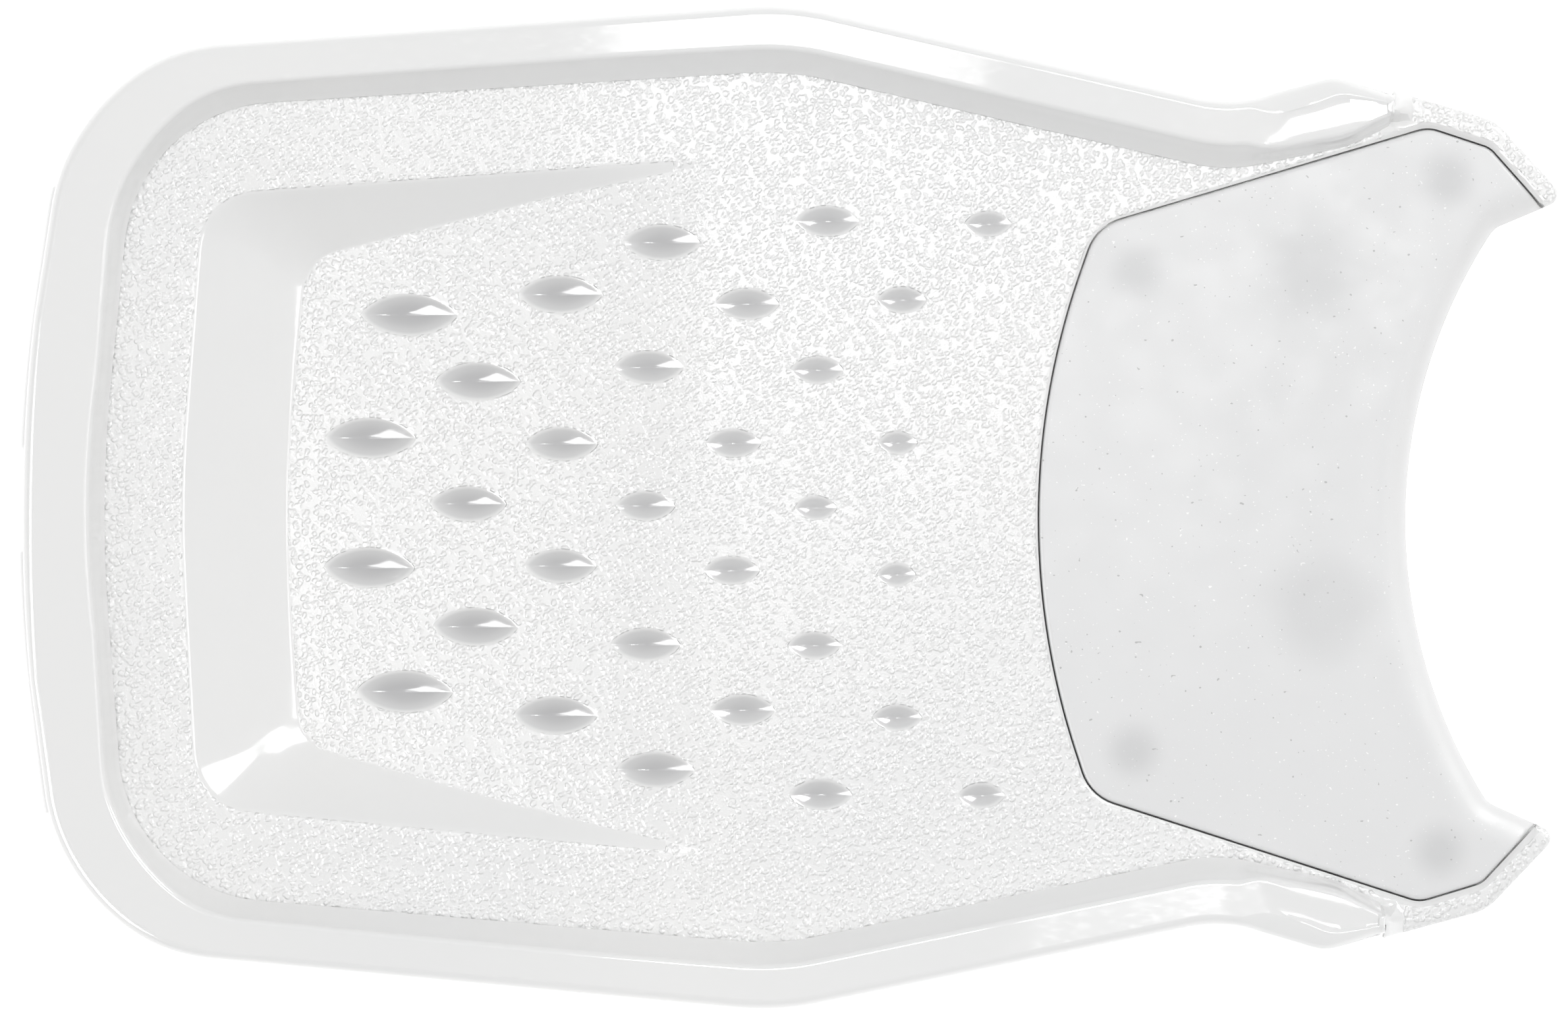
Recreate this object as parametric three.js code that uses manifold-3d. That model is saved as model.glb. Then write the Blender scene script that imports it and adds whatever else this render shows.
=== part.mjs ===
// A contoured slipper bedpan: a grained tray with a sump, a glossy rim that stops in two horns,
// a lower shell that it stands on, and a soft pad over the notched end that slides under the patient.
// Millimetres, +X towards the notched end, +Z up, origin under the middle of the footprint.
import * as THREE from "three";
import { mergeVertices } from "three/addons/utils/BufferGeometryUtils.js";
import { ConvexGeometry } from "three/addons/geometries/ConvexGeometry.js";
import Module from "manifold-3d";

const wasm = await Module();
wasm.setup();

// ---------- Driving dimensions ----------

const GAP = 0.35; // between pieces that touch
const ARC_STEPS = 3; // facets in each rounded corner

const RIM_HIGH = 68; // rim's top at the deep end
const RIM_FALL = 16; // how much lower it is at the horns
const RIM_FALL_FROM = -60;
const RIM_FALL_TO = 150;
const RIM_OVER_DECK = 13;
const RIM_SKIRT = 24; // from the rim's top to its lower edge
const RIM_END_X = 148.2; // where both horns stop

const CROWN_HEIGHT = 3; // the deck's rise towards its centre line
const CROWN_HALF_WIDTH = 107;
const CROWN_FROM = -172;
const CROWN_FULL = -105;
const WING_DROOP = 4;
const WING_FROM = 140;
const WING_LENGTH = 50;
const DECK_THICK = 3.6;
const WING_SKIRT = 16;
const WING_SKIRT_FROM = RIM_END_X + 0.4;
const WALL = 3; // the tray's skirts and the shell's sides
const GRID_X = 15; // facets of the deck along and across
const GRID_Y = 12;

const SUMP_DEPTH = 18;
const SUMP_END_X = -123; // foot of the sump's end wall
const SUMP_FADE_X = -27; // where its floor runs out into the deck
const SUMP_OVERRUN = 7;
const SUMP_CLEAR = 4; // how far the sump's cutter stands over the deck

const DENT_LENGTH = 21; // at DENT_FULL_X on the centre line
const DENT_FULL_X = -100;
// [distance from the centre line, x], mirrored about the centre line.
const DENT_ROWS = [
  [16, -102.9],
  [46.4, -93.7],
  [0, -78.5],
  [30.2, -76.4],
  [15, -55.6],
  [51.7, -56.4],
  [0, -34.8],
  [34, -34.4],
  [64.7, -31.6],
  [15.6, -13.4],
  [49.8, -10.4],
  [0, 7],
  [33.8, 7],
  [70.4, 9],
  [16.2, 27],
  [51.3, 27.6],
  [70.3, 48.6],
];
const DENT_SIDES = 8;
const DENT_DEPTH_SHARE = 0.3;

const PAD_THICK = 5;
const PAD_LIP = 16;
const STUD_PLACES = [
  ["inner", 86, 59],
  ["outer", 162, 83],
];
const STUD_HEAD_RADIUS = 6.5;
const STUD_HEAD_HEIGHT = 2;
const STUD_NECK_RADIUS = 3.6;
const STUD_SHANK_RADIUS = 3.9;
const STUD_HOLE_RADIUS = 4.3;
const STUD_REACH = 7; // below the pad's underside

const FOOT_HEIGHT = 3; // the shell's floor over the ground
const FOOT_RADIUS = 9;
const FOOT_POCKET = 1.6;
const FOOT_PLACES = [
  ["deep", -122, 70],
  ["notch", 132, 72],
];
const SCREW_PLACES = [
  ["deep", -152, 40],
  ["middle", -4, 84],
  ["notch", 118, 40],
];
const SCREW_LENGTH = 12;
const SCREW_RADIUS = 1.9;
const SCREW_HEAD_RADIUS = 3.8;
const SCREW_HEAD_HEIGHT = 2.2;
const BOSS_RADIUS = 5;

const SEAL_RADIUS = 1;
const SEAL_UNDER_TRAY = 1.8;
const TONGUE_UNDER_TRAY = 3.2;

// ---------- Heights ----------

const smooth = (x, from, to) => THREE.MathUtils.smoothstep(x, from, to);

function rimTop(x) {
  return RIM_HIGH - RIM_FALL * smooth(x, RIM_FALL_FROM, RIM_FALL_TO);
}

// The grained deck without its sump: level with the rim's foot at the edge and a little higher along its centre line.
function deck(x, y) {
  const wing = Math.max(0, (x - WING_FROM) / WING_LENGTH);
  const across = Math.max(0, 1 - (y / CROWN_HALF_WIDTH) ** 2);
  const crown = CROWN_HEIGHT * across * smooth(x, CROWN_FROM, CROWN_FULL);
  return rimTop(x) - RIM_OVER_DECK - WING_DROOP * wing ** 2 + crown;
}

// Below 0 past the line where the sump's floor meets the deck.
function sumpDepth(x) {
  return (SUMP_DEPTH * (SUMP_FADE_X - x)) / (SUMP_FADE_X - SUMP_END_X);
}

// ---------- Outlines ----------
// A corner is [x, y, fillet radius, points on the edge after it]. A half outline runs from the
// left end to the right end on the +Y side, and whole() mirrors it into a closed loop.

const RIM_OUTER = [
  [RIM_END_X, 104.7, 0, 1],
  [133.2, 109.2, 11, 0],
  [108.4, 101.9, 35, 3],
  [-0.9, 125.05, 70, 3],
  [-178.5, 110, 48, 1],
  [-192.9, 0, 360, 2],
];
const RIM_INNER = [
  [RIM_END_X, 96, 0, 1],
  [137, 90.6, 20, 0],
  [107, 84.2, 38, 3],
  [-0.9, 107.3, 70, 3],
  [-160.5, 95.5, 38, 1],
  [-168.8, 0, 340, 2],
];
const onWingEdge = (x) => [x, 109.4 - (11.9 * (x - 134)) / 40, 0, x > RIM_END_X ? 1 : 0];

const PAN = [
  [-192.9, 0, 360, 2],
  [-178.5, 110, 48, 2],
  [-0.9, 125.05, 70, 2],
  [103.2, 103.2, 10, 0],
  [119.5, 109.4, 12, 0],
  [134, 109.4, 12, 0],
  onWingEdge(RIM_END_X - 1.8),
  onWingEdge(RIM_END_X + 0.4),
  [174, 97.5, 12, 0],
  [191.8, 78.6, 3, 0],
  [174.2, 71, 6, 0],
  [129.1, 0, 129, 0],
];
const PAD = [
  [51.8, 0, 183, 0],
  [75.5, 70.05, 12, 3],
  [157.3, 95.5, 8, 0],
  [172.6, 90.7, 6, 0],
  [186, 76.1, 0, 0],
  [174.2, 71, 6, 0],
  [129.1, 0, 129, 0],
];

// Both halves of an outline, anticlockwise from its left end. Distances belong to the half's edges.
function whole(half, distances) {
  const last = half.length - 1;
  const corners = [];
  const moved = [];
  for (let i = 0; i < last; i++) {
    corners.push({ x: half[i][0], y: -half[i][1], r: half[i][2], n: half[i][3] });
    moved.push(distances ? distances[i] : 0);
  }
  for (let i = last; i > 0; i--) {
    corners.push({ x: half[i][0], y: half[i][1], r: half[i][2], n: half[i - 1][3] });
    moved.push(distances ? distances[i - 1] : 0);
  }
  return { corners, moved };
}

// Moves each edge inwards by its own distance and meets the moved edges again.
function inset({ corners, moved }) {
  const count = corners.length;
  const lines = corners.map((a, i) => {
    const b = corners[(i + 1) % count];
    const along = new THREE.Vector2(b.x - a.x, b.y - a.y).normalize();
    const inward = new THREE.Vector2(-along.y, along.x);
    const point = new THREE.Vector2(a.x, a.y).addScaledVector(inward, moved[i]);
    return { along, point };
  });
  return corners.map((corner, i) => {
    const k = (i + count - 1) % count;
    const before = lines[k];
    const after = lines[i];
    const turn = before.along.cross(after.along);
    const straight = Math.abs(turn) < 1e-6;
    const t = straight ? 0 : after.point.clone().sub(before.point).cross(after.along) / turn;
    const at = straight ? after.point : before.point.clone().addScaledVector(before.along, t);
    const change = turn > 0 ? -Math.min(moved[k], moved[i]) : Math.min(moved[k], moved[i]);
    return { x: at.x, y: at.y, r: corner.r && Math.max(0.5, corner.r + change), n: corner.n };
  });
}

// The fillet of one corner as points, from the edge before it to the edge after it.
function fillet(before, corner, after) {
  if (!corner.r) return [new THREE.Vector2(corner.x, corner.y)];
  const a = new THREE.Vector2(before.x - corner.x, before.y - corner.y).normalize();
  const b = new THREE.Vector2(after.x - corner.x, after.y - corner.y).normalize();
  const half = Math.acos(THREE.MathUtils.clamp(a.dot(b), -1, 1)) / 2;
  const bisector = a.clone().add(b).normalize();
  const centre = new THREE.Vector2(corner.x, corner.y);
  centre.addScaledVector(bisector, corner.r / Math.sin(half));
  const reach = corner.r / Math.tan(half);
  const first = new THREE.Vector2(corner.x, corner.y).addScaledVector(a, reach).sub(centre);
  const last = new THREE.Vector2(corner.x, corner.y).addScaledVector(b, reach).sub(centre);
  const sweep = Math.atan2(first.cross(last), first.dot(last));
  const points = [];
  for (let i = 0; i <= ARC_STEPS; i++) {
    const turned = first.clone().rotateAround(new THREE.Vector2(), (sweep * i) / ARC_STEPS);
    points.push(turned.add(centre));
  }
  return points;
}

// Points n + 1 steps apart between two points, without either.
function between(a, b, n) {
  const points = [];
  for (let i = 1; i <= n; i++) points.push(a.clone().lerp(b, i / (n + 1)));
  return points;
}

function closedPoints(corners) {
  const count = corners.length;
  const arcs = corners.map((corner, i) =>
    fillet(corners[(i + count - 1) % count], corner, corners[(i + 1) % count]),
  );
  return arcs.flatMap((arc, i) => [
    ...arc,
    ...between(arc[arc.length - 1], arcs[(i + 1) % count][0], corners[i].n),
  ]);
}

// The rim's path: open, from the +Y horn round the left end to the -Y horn.
function openPoints(half, endX) {
  const up = half.map(([x, y, r, n], i) => ({ x: i ? x : endX, y, r, n }));
  const down = up
    .slice(0, -1)
    .reverse()
    .map((c, i) => ({ ...c, y: -c.y, n: up[up.length - 2 - i - 1]?.n ?? 0 }));
  const corners = [...up, ...down];
  corners[up.length - 1].n = up[up.length - 2].n;
  const arcs = corners.map((corner, i) =>
    i === 0 || i === corners.length - 1
      ? [new THREE.Vector2(corner.x, corner.y)]
      : fillet(corners[i - 1], corner, corners[i + 1]),
  );
  return arcs.flatMap((arc, i) =>
    i === arcs.length - 1
      ? arc
      : [...arc, ...between(arc[arc.length - 1], arcs[i + 1][0], corners[i].n)],
  );
}

function outline(half, distances) {
  return closedPoints(inset(whole(half, distances ?? half.map(() => 0))));
}

// A half outline's distances: one number for its plain edges and one for its last edges.
function edges(half, plain, ends, endCount) {
  return half.slice(1).map((_, i) => (i >= half.length - 1 - endCount ? ends : plain));
}

// ---------- Solids ----------

const raise = (points, height) => points.map((p) => new THREE.Vector3(p.x, p.y, height(p.x, p.y, p)));

// A ring shrunk towards a centre.
function shrink(points, centre, share) {
  return points.map((p) => new THREE.Vector2().lerpVectors(centre, p, share));
}

// A closed skin over rings of equal length, from a pole above to a pole below.
function skin(top, rings, bottom) {
  const count = rings[0].length;
  const vertices = [top, ...rings.flat(), bottom];
  const at = (ring, i) => 1 + ring * count + (i % count);
  const faces = [];
  for (let i = 0; i < count; i++) {
    faces.push(0, at(0, i), at(0, i + 1));
    for (let k = 0; k < rings.length - 1; k++) {
      faces.push(at(k, i), at(k + 1, i), at(k + 1, i + 1));
      faces.push(at(k, i), at(k + 1, i + 1), at(k, i + 1));
    }
    faces.push(vertices.length - 1, at(rings.length - 1, i + 1), at(rings.length - 1, i));
  }
  return geometryFrom(vertices, faces);
}

function geometryFrom(vertices, faces) {
  const positions = new Float32Array(vertices.flatMap((v) => [v.x, v.y, v.z]));
  return new THREE.BufferGeometry()
    .setAttribute("position", new THREE.BufferAttribute(positions, 3))
    .setIndex(faces);
}

function solid(geometry) {
  const plain = new THREE.BufferGeometry().setAttribute("position", geometry.getAttribute("position"));
  plain.setIndex(geometry.index);
  const merged = mergeVertices(plain, 1e-4);
  return new wasm.Manifold(
    new wasm.Mesh({
      numProp: 3,
      vertProperties: merged.getAttribute("position").array,
      triVerts: new Uint32Array(merged.index.array),
    }),
  );
}

function geometryOf(made) {
  const mesh = made.getMesh();
  const geometry = new THREE.BufferGeometry();
  geometry.setAttribute("position", new THREE.BufferAttribute(mesh.vertProperties, 3));
  geometry.setIndex(new THREE.BufferAttribute(mesh.triVerts, 1));
  const flat = geometry.toNonIndexed();
  flat.computeVertexNormals();
  return flat;
}

function upright(radius, height, x, y, z, sides = 20) {
  const geometry = new THREE.CylinderGeometry(radius, radius, height, sides);
  return geometry.rotateX(Math.PI / 2).translate(x, y, z + height / 2);
}

// A turned piece: its profile is [radius, height] from the axis at the bottom to the axis at the top.
function turned(profile, x, y, z, sides = 20) {
  const geometry = new THREE.LatheGeometry(
    profile.map(([r, h]) => new THREE.Vector2(r, h)),
    sides,
  );
  return geometry.rotateX(Math.PI / 2).translate(x, y, z);
}

// Every place in a list on both sides of the middle, with a name for each.
function bothSides(places) {
  return places.flatMap(([name, x, y]) => [
    [`${name}_left`, x, y],
    [`${name}_right`, x, -y],
  ]);
}

// ---------- Tray ----------

const NOTCH_EDGES = 2; // the wing's end and the notch close the half outline

// Everything between two surfaces that follow the deck, over the whole pan.
function layer(below, above) {
  const xs = Array.from({ length: GRID_X + 1 }, (_, i) => -200 + (i * 400) / GRID_X);
  const ys = Array.from({ length: GRID_Y + 1 }, (_, j) => -132 + (j * 264) / GRID_Y);
  const vertices = [];
  for (const offset of [above, below]) {
    for (const y of ys) for (const x of xs) vertices.push(new THREE.Vector3(x, y, deck(x, y) + offset));
  }
  const width = xs.length;
  const under = width * ys.length;
  const faces = [];
  for (let j = 0; j < GRID_Y; j++) {
    for (let i = 0; i < GRID_X; i++) {
      const a = j * width + i;
      const [b, c, d] = [a + 1, a + 1 + width, a + width];
      faces.push(a, b, c, a, c, d);
      faces.push(under + a, under + c, under + b, under + a, under + d, under + c);
    }
  }
  const rimOfGrid = [];
  for (let i = 0; i < GRID_X; i++) rimOfGrid.push(i);
  for (let j = 0; j < GRID_Y; j++) rimOfGrid.push(j * width + GRID_X);
  for (let i = GRID_X; i > 0; i--) rimOfGrid.push(GRID_Y * width + i);
  for (let j = GRID_Y; j > 0; j--) rimOfGrid.push(j * width);
  rimOfGrid.forEach((a, k) => {
    const b = rimOfGrid[(k + 1) % rimOfGrid.length];
    faces.push(a, under + a, under + b, a, under + b, b);
  });
  return solid(geometryFrom(vertices, faces));
}

// A straight-sided block with an outline, from the ground to well over the rim.
function block(points) {
  const shape = new THREE.Shape(points);
  return solid(new THREE.ExtrudeGeometry(shape, { depth: 2 * RIM_HIGH, bevelEnabled: false }));
}

function beyond(x) {
  return solid(new THREE.BoxGeometry(200, 400, 400).translate(x + 100, 0, 0));
}

// The largest body of a cut: slivers that the cut leaves are dropped.
function largest(made) {
  return made.decompose().reduce((a, b) => (a.volume() > b.volume() ? a : b));
}

const padHidden = PAD_THICK + GAP;

// What the pad takes from the pan: its plate's recess and the strip that its lip hangs over.
function padSpace() {
  const plate = block(outline(PAD, edges(PAD, -GAP, -20, 1))).intersect(layer(-padHidden, 30));
  const behind = block(outline(PAN, edges(PAN, -5, padHidden, NOTCH_EDGES)));
  const lip = block(outline(PAD, edges(PAD, -GAP, -20, 1))).subtract(behind);
  return plate.add(lip.intersect(layer(-90, 30)));
}

// The sump's hollow, or with a margin the solid that its shell is cut from.
function sumpBody(margin) {
  const far = SUMP_FADE_X + SUMP_OVERRUN;
  const stop = far + margin;
  const floorHalf = [
    [SUMP_END_X - 1.4 - margin, 0, 300, 2],
    [-119.5 - margin, 60 + margin, 11, 4],
    [stop, 85.6 + margin, 0, 1],
    [stop, 0, 0, 0],
  ];
  const topHalf = [
    [-149.2 - margin, 0, 300, 2],
    [-144.3 - margin, 75 + margin, 15, 4],
    [stop, 88.2 + margin, 0, 1],
    [stop, 0, 0, 0],
  ];
  const over = margin ? -1 : SUMP_CLEAR;
  const centre = new THREE.Vector2(-70, 0);
  const floor = (x, y) => deck(x, y) - Math.max(sumpDepth(x), margin ? 0.5 : -9) - margin;
  const top = (x, y) => deck(x, y) + over;
  const topPoints = outline(topHalf);
  const floorPoints = outline(floorHalf);
  const rings = [0.5, 1].map((t) => raise(shrink(topPoints, centre, t), top));
  rings.push(...[1, 0.75, 0.4].map((t) => raise(shrink(floorPoints, centre, t), floor)));
  return skin(
    new THREE.Vector3(centre.x, 0, top(centre.x, 0)),
    rings,
    new THREE.Vector3(centre.x, 0, floor(centre.x, 0)),
  );
}

// The surface that a dent is pressed into: the deck or the sump's floor.
function pressed(x, y) {
  return deck(x, y) - Math.max(0, sumpDepth(x));
}

// Dents stand in staggered columns and shrink towards the pad.
function dentPlaces() {
  const places = [];
  for (const [y, x] of DENT_ROWS) {
    const length = DENT_LENGTH - 0.1 * (x - DENT_FULL_X) + 0.075 * y;
    const width = 2.4 + 0.33 * length;
    places.push({ x, y, length, width });
    if (y > 0) places.push({ x, y: -y, length, width });
  }
  return places;
}

// A canoe-shaped cutter: an ellipse at the deck and a keel below it.
function dentCutter({ x, y, length, width }) {
  const points = [];
  const depth = DENT_DEPTH_SHARE * width;
  for (let i = 0; i < DENT_SIDES; i++) {
    const a = (i / DENT_SIDES) * 2 * Math.PI;
    const px = x + (length / 2) * Math.cos(a);
    const py = y + (width / 2) * Math.sin(a);
    points.push(new THREE.Vector3(px, py, pressed(px, py)));
    points.push(new THREE.Vector3(px, py, pressed(px, py) + 1));
  }
  for (const u of [-0.6, 0, 0.6]) {
    const px = x + (u * length) / 2;
    points.push(new THREE.Vector3(px, y, pressed(px, y) - depth * (1 - u * u)));
  }
  return new ConvexGeometry(points);
}

function tray() {
  const slab = block(outline(PAN)).intersect(layer(-DECK_THICK, 0));
  const hollow = block(outline(PAN, edges(PAN, WALL, padHidden + WALL, NOTCH_EDGES)));
  const skirt = block(outline(PAN)).subtract(hollow).intersect(layer(-WING_SKIRT, 0));
  const pocket = block(outline(PAD, edges(PAD, -WALL, -20, 1))).intersect(block(outline(PAN)));
  let made = slab.add(skirt.intersect(beyond(WING_SKIRT_FROM)));
  made = made.add(pocket.intersect(layer(-padHidden - WALL, -1)));
  made = made.add(solid(sumpBody(WALL)));
  for (const [, x, y] of bothSides(SCREW_PLACES)) {
    const top = deck(x, y) - DECK_THICK / 2 - (x > 75 ? PAD_THICK : 0);
    const bottom = FOOT_HEIGHT + WALL + GAP;
    made = made.add(solid(upright(BOSS_RADIUS, top - bottom, x, y, bottom, 12)));
    made = made.subtract(solid(upright(SCREW_RADIUS + 0.2, SCREW_LENGTH + 2, x, y, bottom - 2, 10)));
  }
  made = made.subtract(solid(sumpBody(0))).subtract(padSpace()).subtract(rimSpace());
  for (const place of dentPlaces()) made = made.subtract(solid(dentCutter(place)));
  for (const [, x, y] of bothSides(STUD_PLACES)) {
    made = made.subtract(solid(upright(STUD_HOLE_RADIUS, 30, x, y, deck(x, y) - 20, 12)));
  }
  return geometryOf(largest(made));
}

// ---------- Rim ----------
// Each point of its section is [share of the way from the outer to the inner outline, height under the top].

const SKIRT_SHARE = 0.15;
const RIM_SECTION = [
  [0, -RIM_SKIRT],
  [0.02, -7],
  [0.06, -2],
  [0.16, 0],
  [0.64, 0],
  [0.8, -2.2],
  [0.91, -7],
  [1, null],
  [0.86, null],
  [0.76, -7],
  [0.6, -3],
  [0.2, -3],
  [SKIRT_SHARE, -7],
  [SKIRT_SHARE, -RIM_SKIRT],
];

function sweep(section, endX) {
  const outer = openPoints(RIM_OUTER, endX);
  const inner = openPoints(RIM_INNER, endX);
  const stations = outer.map((a, i) =>
    section.map(([share, under]) => {
      const p = a.clone().lerp(inner[i], share);
      const z = under === null ? deck(p.x, p.y) + GAP : rimTop(p.x) + under;
      return new THREE.Vector3(p.x, p.y, z);
    }),
  );
  const count = section.length;
  const flat = section.map(([share, under]) => new THREE.Vector2(share * 18, under ?? -RIM_OVER_DECK));
  const last = (stations.length - 1) * count;
  const faces = [];
  for (const [a, b, c] of THREE.ShapeUtils.triangulateShape(flat, [])) {
    faces.push(c, b, a, last + a, last + b, last + c);
  }
  for (let s = 0; s < stations.length - 1; s++) {
    for (let i = 0; i < count; i++) {
      const a = s * count + i;
      const b = s * count + ((i + 1) % count);
      faces.push(a, b + count, b, a, a + count, b + count);
    }
  }
  return geometryFrom(stations.flat(), faces);
}

// The strip that the rim's skirt needs round the edge of the tray.
function rimSpace() {
  const section = [
    [-0.4, -60],
    [-0.4, 5],
    [SKIRT_SHARE + 0.02, 5],
    [SKIRT_SHARE + 0.02, -60],
  ];
  return solid(sweep(section, RIM_END_X + GAP));
}

function rim() {
  return sweep(RIM_SECTION, RIM_END_X);
}

// ---------- Lower shell ----------

// One distance for each edge of the half outline, from the left end to the notch.
const FLOOR_INSET = [14, 14, 12, 12, 12, 10, 10, 10, 6, 3.5, 3.5];
const BULGE_INSET = [8, 8, 7, 7, 7, 6, 6, 6, 3, 2, 2];
const TONGUE_INSET = [3.6, 3.6, 3.6, 8, 5.6, 3.6, 3.6, 3.6, 9, 9, 9];
const BULGE_HEIGHT = 5;
const TONGUE_THICK = 3;

// The lower edge of what hangs over the shell: the rim's skirt, or the wings' skirt past the horns.
function seam(x, y) {
  const underRim = rimTop(x) - RIM_SKIRT - 0.6;
  const underWing = deck(x, y) - WING_SKIRT - 1.2;
  const overNotch = x > 100 && Math.abs(y) < 98;
  const pastHorn = smooth(x, RIM_END_X - 1.9, RIM_END_X - 0.7);
  return THREE.MathUtils.lerp(underRim, underWing, overNotch ? 1 : pastHorn);
}

// The tray's underside over the joint: lower where it carries the pad.
function trayUnderside(x, y) {
  return deck(x, y) - THREE.MathUtils.lerp(DECK_THICK, padHidden + WALL, smooth(x, 35, 60));
}

function base() {
  const inside = FOOT_HEIGHT + WALL;
  const innerFloor = outline(PAN, FLOOR_INSET.map((d) => d + WALL - 1));
  const innerBulge = outline(PAN, BULGE_INSET.map((d) => d + WALL));
  const innerWall = outline(PAN, TONGUE_INSET.map((d) => d + TONGUE_THICK));
  const tongue = outline(PAN, TONGUE_INSET);
  const tongueTop = (x, y) => trayUnderside(x, y) - TONGUE_UNDER_TRAY;
  const rings = [
    raise(innerFloor, () => inside),
    raise(innerBulge, () => inside + BULGE_HEIGHT),
    raise(innerWall, (x, y) => seam(x, y) - 3),
    raise(innerWall, tongueTop),
    raise(tongue, tongueTop),
    raise(tongue, seam),
    raise(outline(PAN, edges(PAN, 0.8, 0.8, NOTCH_EDGES)), seam),
    raise(outline(PAN, BULGE_INSET), () => FOOT_HEIGHT + BULGE_HEIGHT),
    raise(outline(PAN, FLOOR_INSET), () => FOOT_HEIGHT),
  ];
  const middle = (z) => new THREE.Vector3(-30, 0, z);
  let made = solid(skin(middle(inside), rings, middle(FOOT_HEIGHT)));
  for (const [, x, y] of bothSides(FOOT_PLACES)) {
    const roof = FOOT_HEIGHT + FOOT_POCKET + GAP;
    made = made.subtract(solid(upright(FOOT_RADIUS + GAP, 5, x, y, roof - 5, 16)));
  }
  for (const [, x, y] of bothSides(SCREW_PLACES)) {
    made = made.subtract(solid(upright(SCREW_RADIUS + 0.3, 20, x, y, FOOT_HEIGHT - 5, 10)));
    made = made.subtract(solid(upright(SCREW_HEAD_RADIUS + 0.5, 5, x, y, FOOT_HEIGHT + 1.6 - 5, 12)));
  }
  return geometryOf(made);
}

// ---------- Small pieces ----------

// A rubber cord in the joint between the shell's tongue and the tray.
function seal() {
  const path = outline(PAN, TONGUE_INSET.map((d) => d + TONGUE_THICK / 2));
  const count = path.length;
  const sides = 5;
  const vertices = [];
  const faces = [];
  path.forEach((p, i) => {
    const ahead = path[(i + 1) % count];
    const behind = path[(i + count - 1) % count];
    const out = new THREE.Vector2(ahead.y - behind.y, behind.x - ahead.x).normalize();
    const z = trayUnderside(p.x, p.y) - SEAL_UNDER_TRAY;
    for (let k = 0; k < sides; k++) {
      const a = ((k + 0.5) / sides) * 2 * Math.PI;
      const away = SEAL_RADIUS * Math.cos(a);
      vertices.push(new THREE.Vector3(p.x + out.x * away, p.y + out.y * away, z + SEAL_RADIUS * Math.sin(a)));
    }
  });
  for (let i = 0; i < count; i++) {
    for (let k = 0; k < sides; k++) {
      const a = i * sides + k;
      const b = i * sides + ((k + 1) % sides);
      const c = ((i + 1) % count) * sides + ((k + 1) % sides);
      const d = ((i + 1) % count) * sides + k;
      faces.push(a, d, c);
      faces.push(a, c, b);
    }
  }
  return geometryFrom(vertices, faces);
}

const studHeadTop = (x, y) => deck(x, y) - 1.8;

function backPad() {
  const whole = block(outline(PAD));
  const behind = block(outline(PAN, edges(PAN, -5, PAD_THICK, NOTCH_EDGES)));
  let made = whole.intersect(layer(-PAD_THICK, 0));
  made = made.add(whole.subtract(behind).intersect(layer(-PAD_LIP, 0)));
  for (const [, x, y] of bothSides(STUD_PLACES)) {
    const top = studHeadTop(x, y) + GAP;
    const tall = STUD_HEAD_HEIGHT + 2 * GAP;
    made = made.subtract(solid(upright(STUD_HEAD_RADIUS + GAP, tall, x, y, top - tall, 12)));
    made = made.subtract(solid(upright(STUD_NECK_RADIUS + GAP, 12, x, y, top - 12, 12)));
  }
  return geometryOf(largest(made));
}

// A press stud: a flange held in the pad, a neck, and a tapered shank that pushes into the tray.
function padStud(x, y) {
  const head = studHeadTop(x, y);
  const foot = head - STUD_HEAD_HEIGHT - 1.2 - STUD_REACH;
  const profile = [
    [0, 0],
    [2.2, 0],
    [STUD_SHANK_RADIUS, 2.4],
    [STUD_SHANK_RADIUS, 3.4],
    [STUD_NECK_RADIUS - 0.6, 4.6],
    [STUD_NECK_RADIUS, head - foot - STUD_HEAD_HEIGHT],
    [STUD_HEAD_RADIUS, head - foot - STUD_HEAD_HEIGHT],
    [STUD_HEAD_RADIUS, head - foot],
    [0, head - foot],
  ];
  return turned(profile, x, y, foot, 12);
}

function rubberFoot(x, y) {
  const top = FOOT_HEIGHT + FOOT_POCKET;
  const profile = [
    [0, 0],
    [FOOT_RADIUS - 1.6, 0],
    [FOOT_RADIUS - 0.5, 0.8],
    [FOOT_RADIUS, 2],
    [FOOT_RADIUS, top],
    [0, top],
  ];
  return turned(profile, x, y, 0, 16);
}

function baseScrew(x, y) {
  const under = FOOT_HEIGHT + 1.6 - SCREW_HEAD_HEIGHT - GAP;
  const profile = [
    [0, 0],
    [SCREW_HEAD_RADIUS - 1, 0],
    [SCREW_HEAD_RADIUS, 0.8],
    [SCREW_HEAD_RADIUS, SCREW_HEAD_HEIGHT],
    [SCREW_RADIUS, SCREW_HEAD_HEIGHT],
    [SCREW_RADIUS, SCREW_LENGTH - 2],
    [0.5, SCREW_LENGTH],
    [0, SCREW_LENGTH],
  ];
  return turned(profile, x, y, under, 10);
}

// ---------- Assembly ----------

const gloss = new THREE.MeshStandardMaterial({ color: 0xf1f1f0, roughness: 0.18, metalness: 0 });
const grained = new THREE.MeshStandardMaterial({ color: 0xeeeeed, roughness: 0.42, metalness: 0 });
const shellWhite = new THREE.MeshStandardMaterial({ color: 0xefefee, roughness: 0.3, metalness: 0 });
const softPad = new THREE.MeshStandardMaterial({ color: 0xdcdddd, roughness: 0.55, metalness: 0 });
const studWhite = new THREE.MeshStandardMaterial({ color: 0xc9cbcc, roughness: 0.4, metalness: 0 });
const rubber = new THREE.MeshStandardMaterial({ color: 0xb4b7b9, roughness: 0.8, metalness: 0 });
const steel = new THREE.MeshStandardMaterial({ color: 0xb9bcc0, roughness: 0.3, metalness: 1 });

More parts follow.
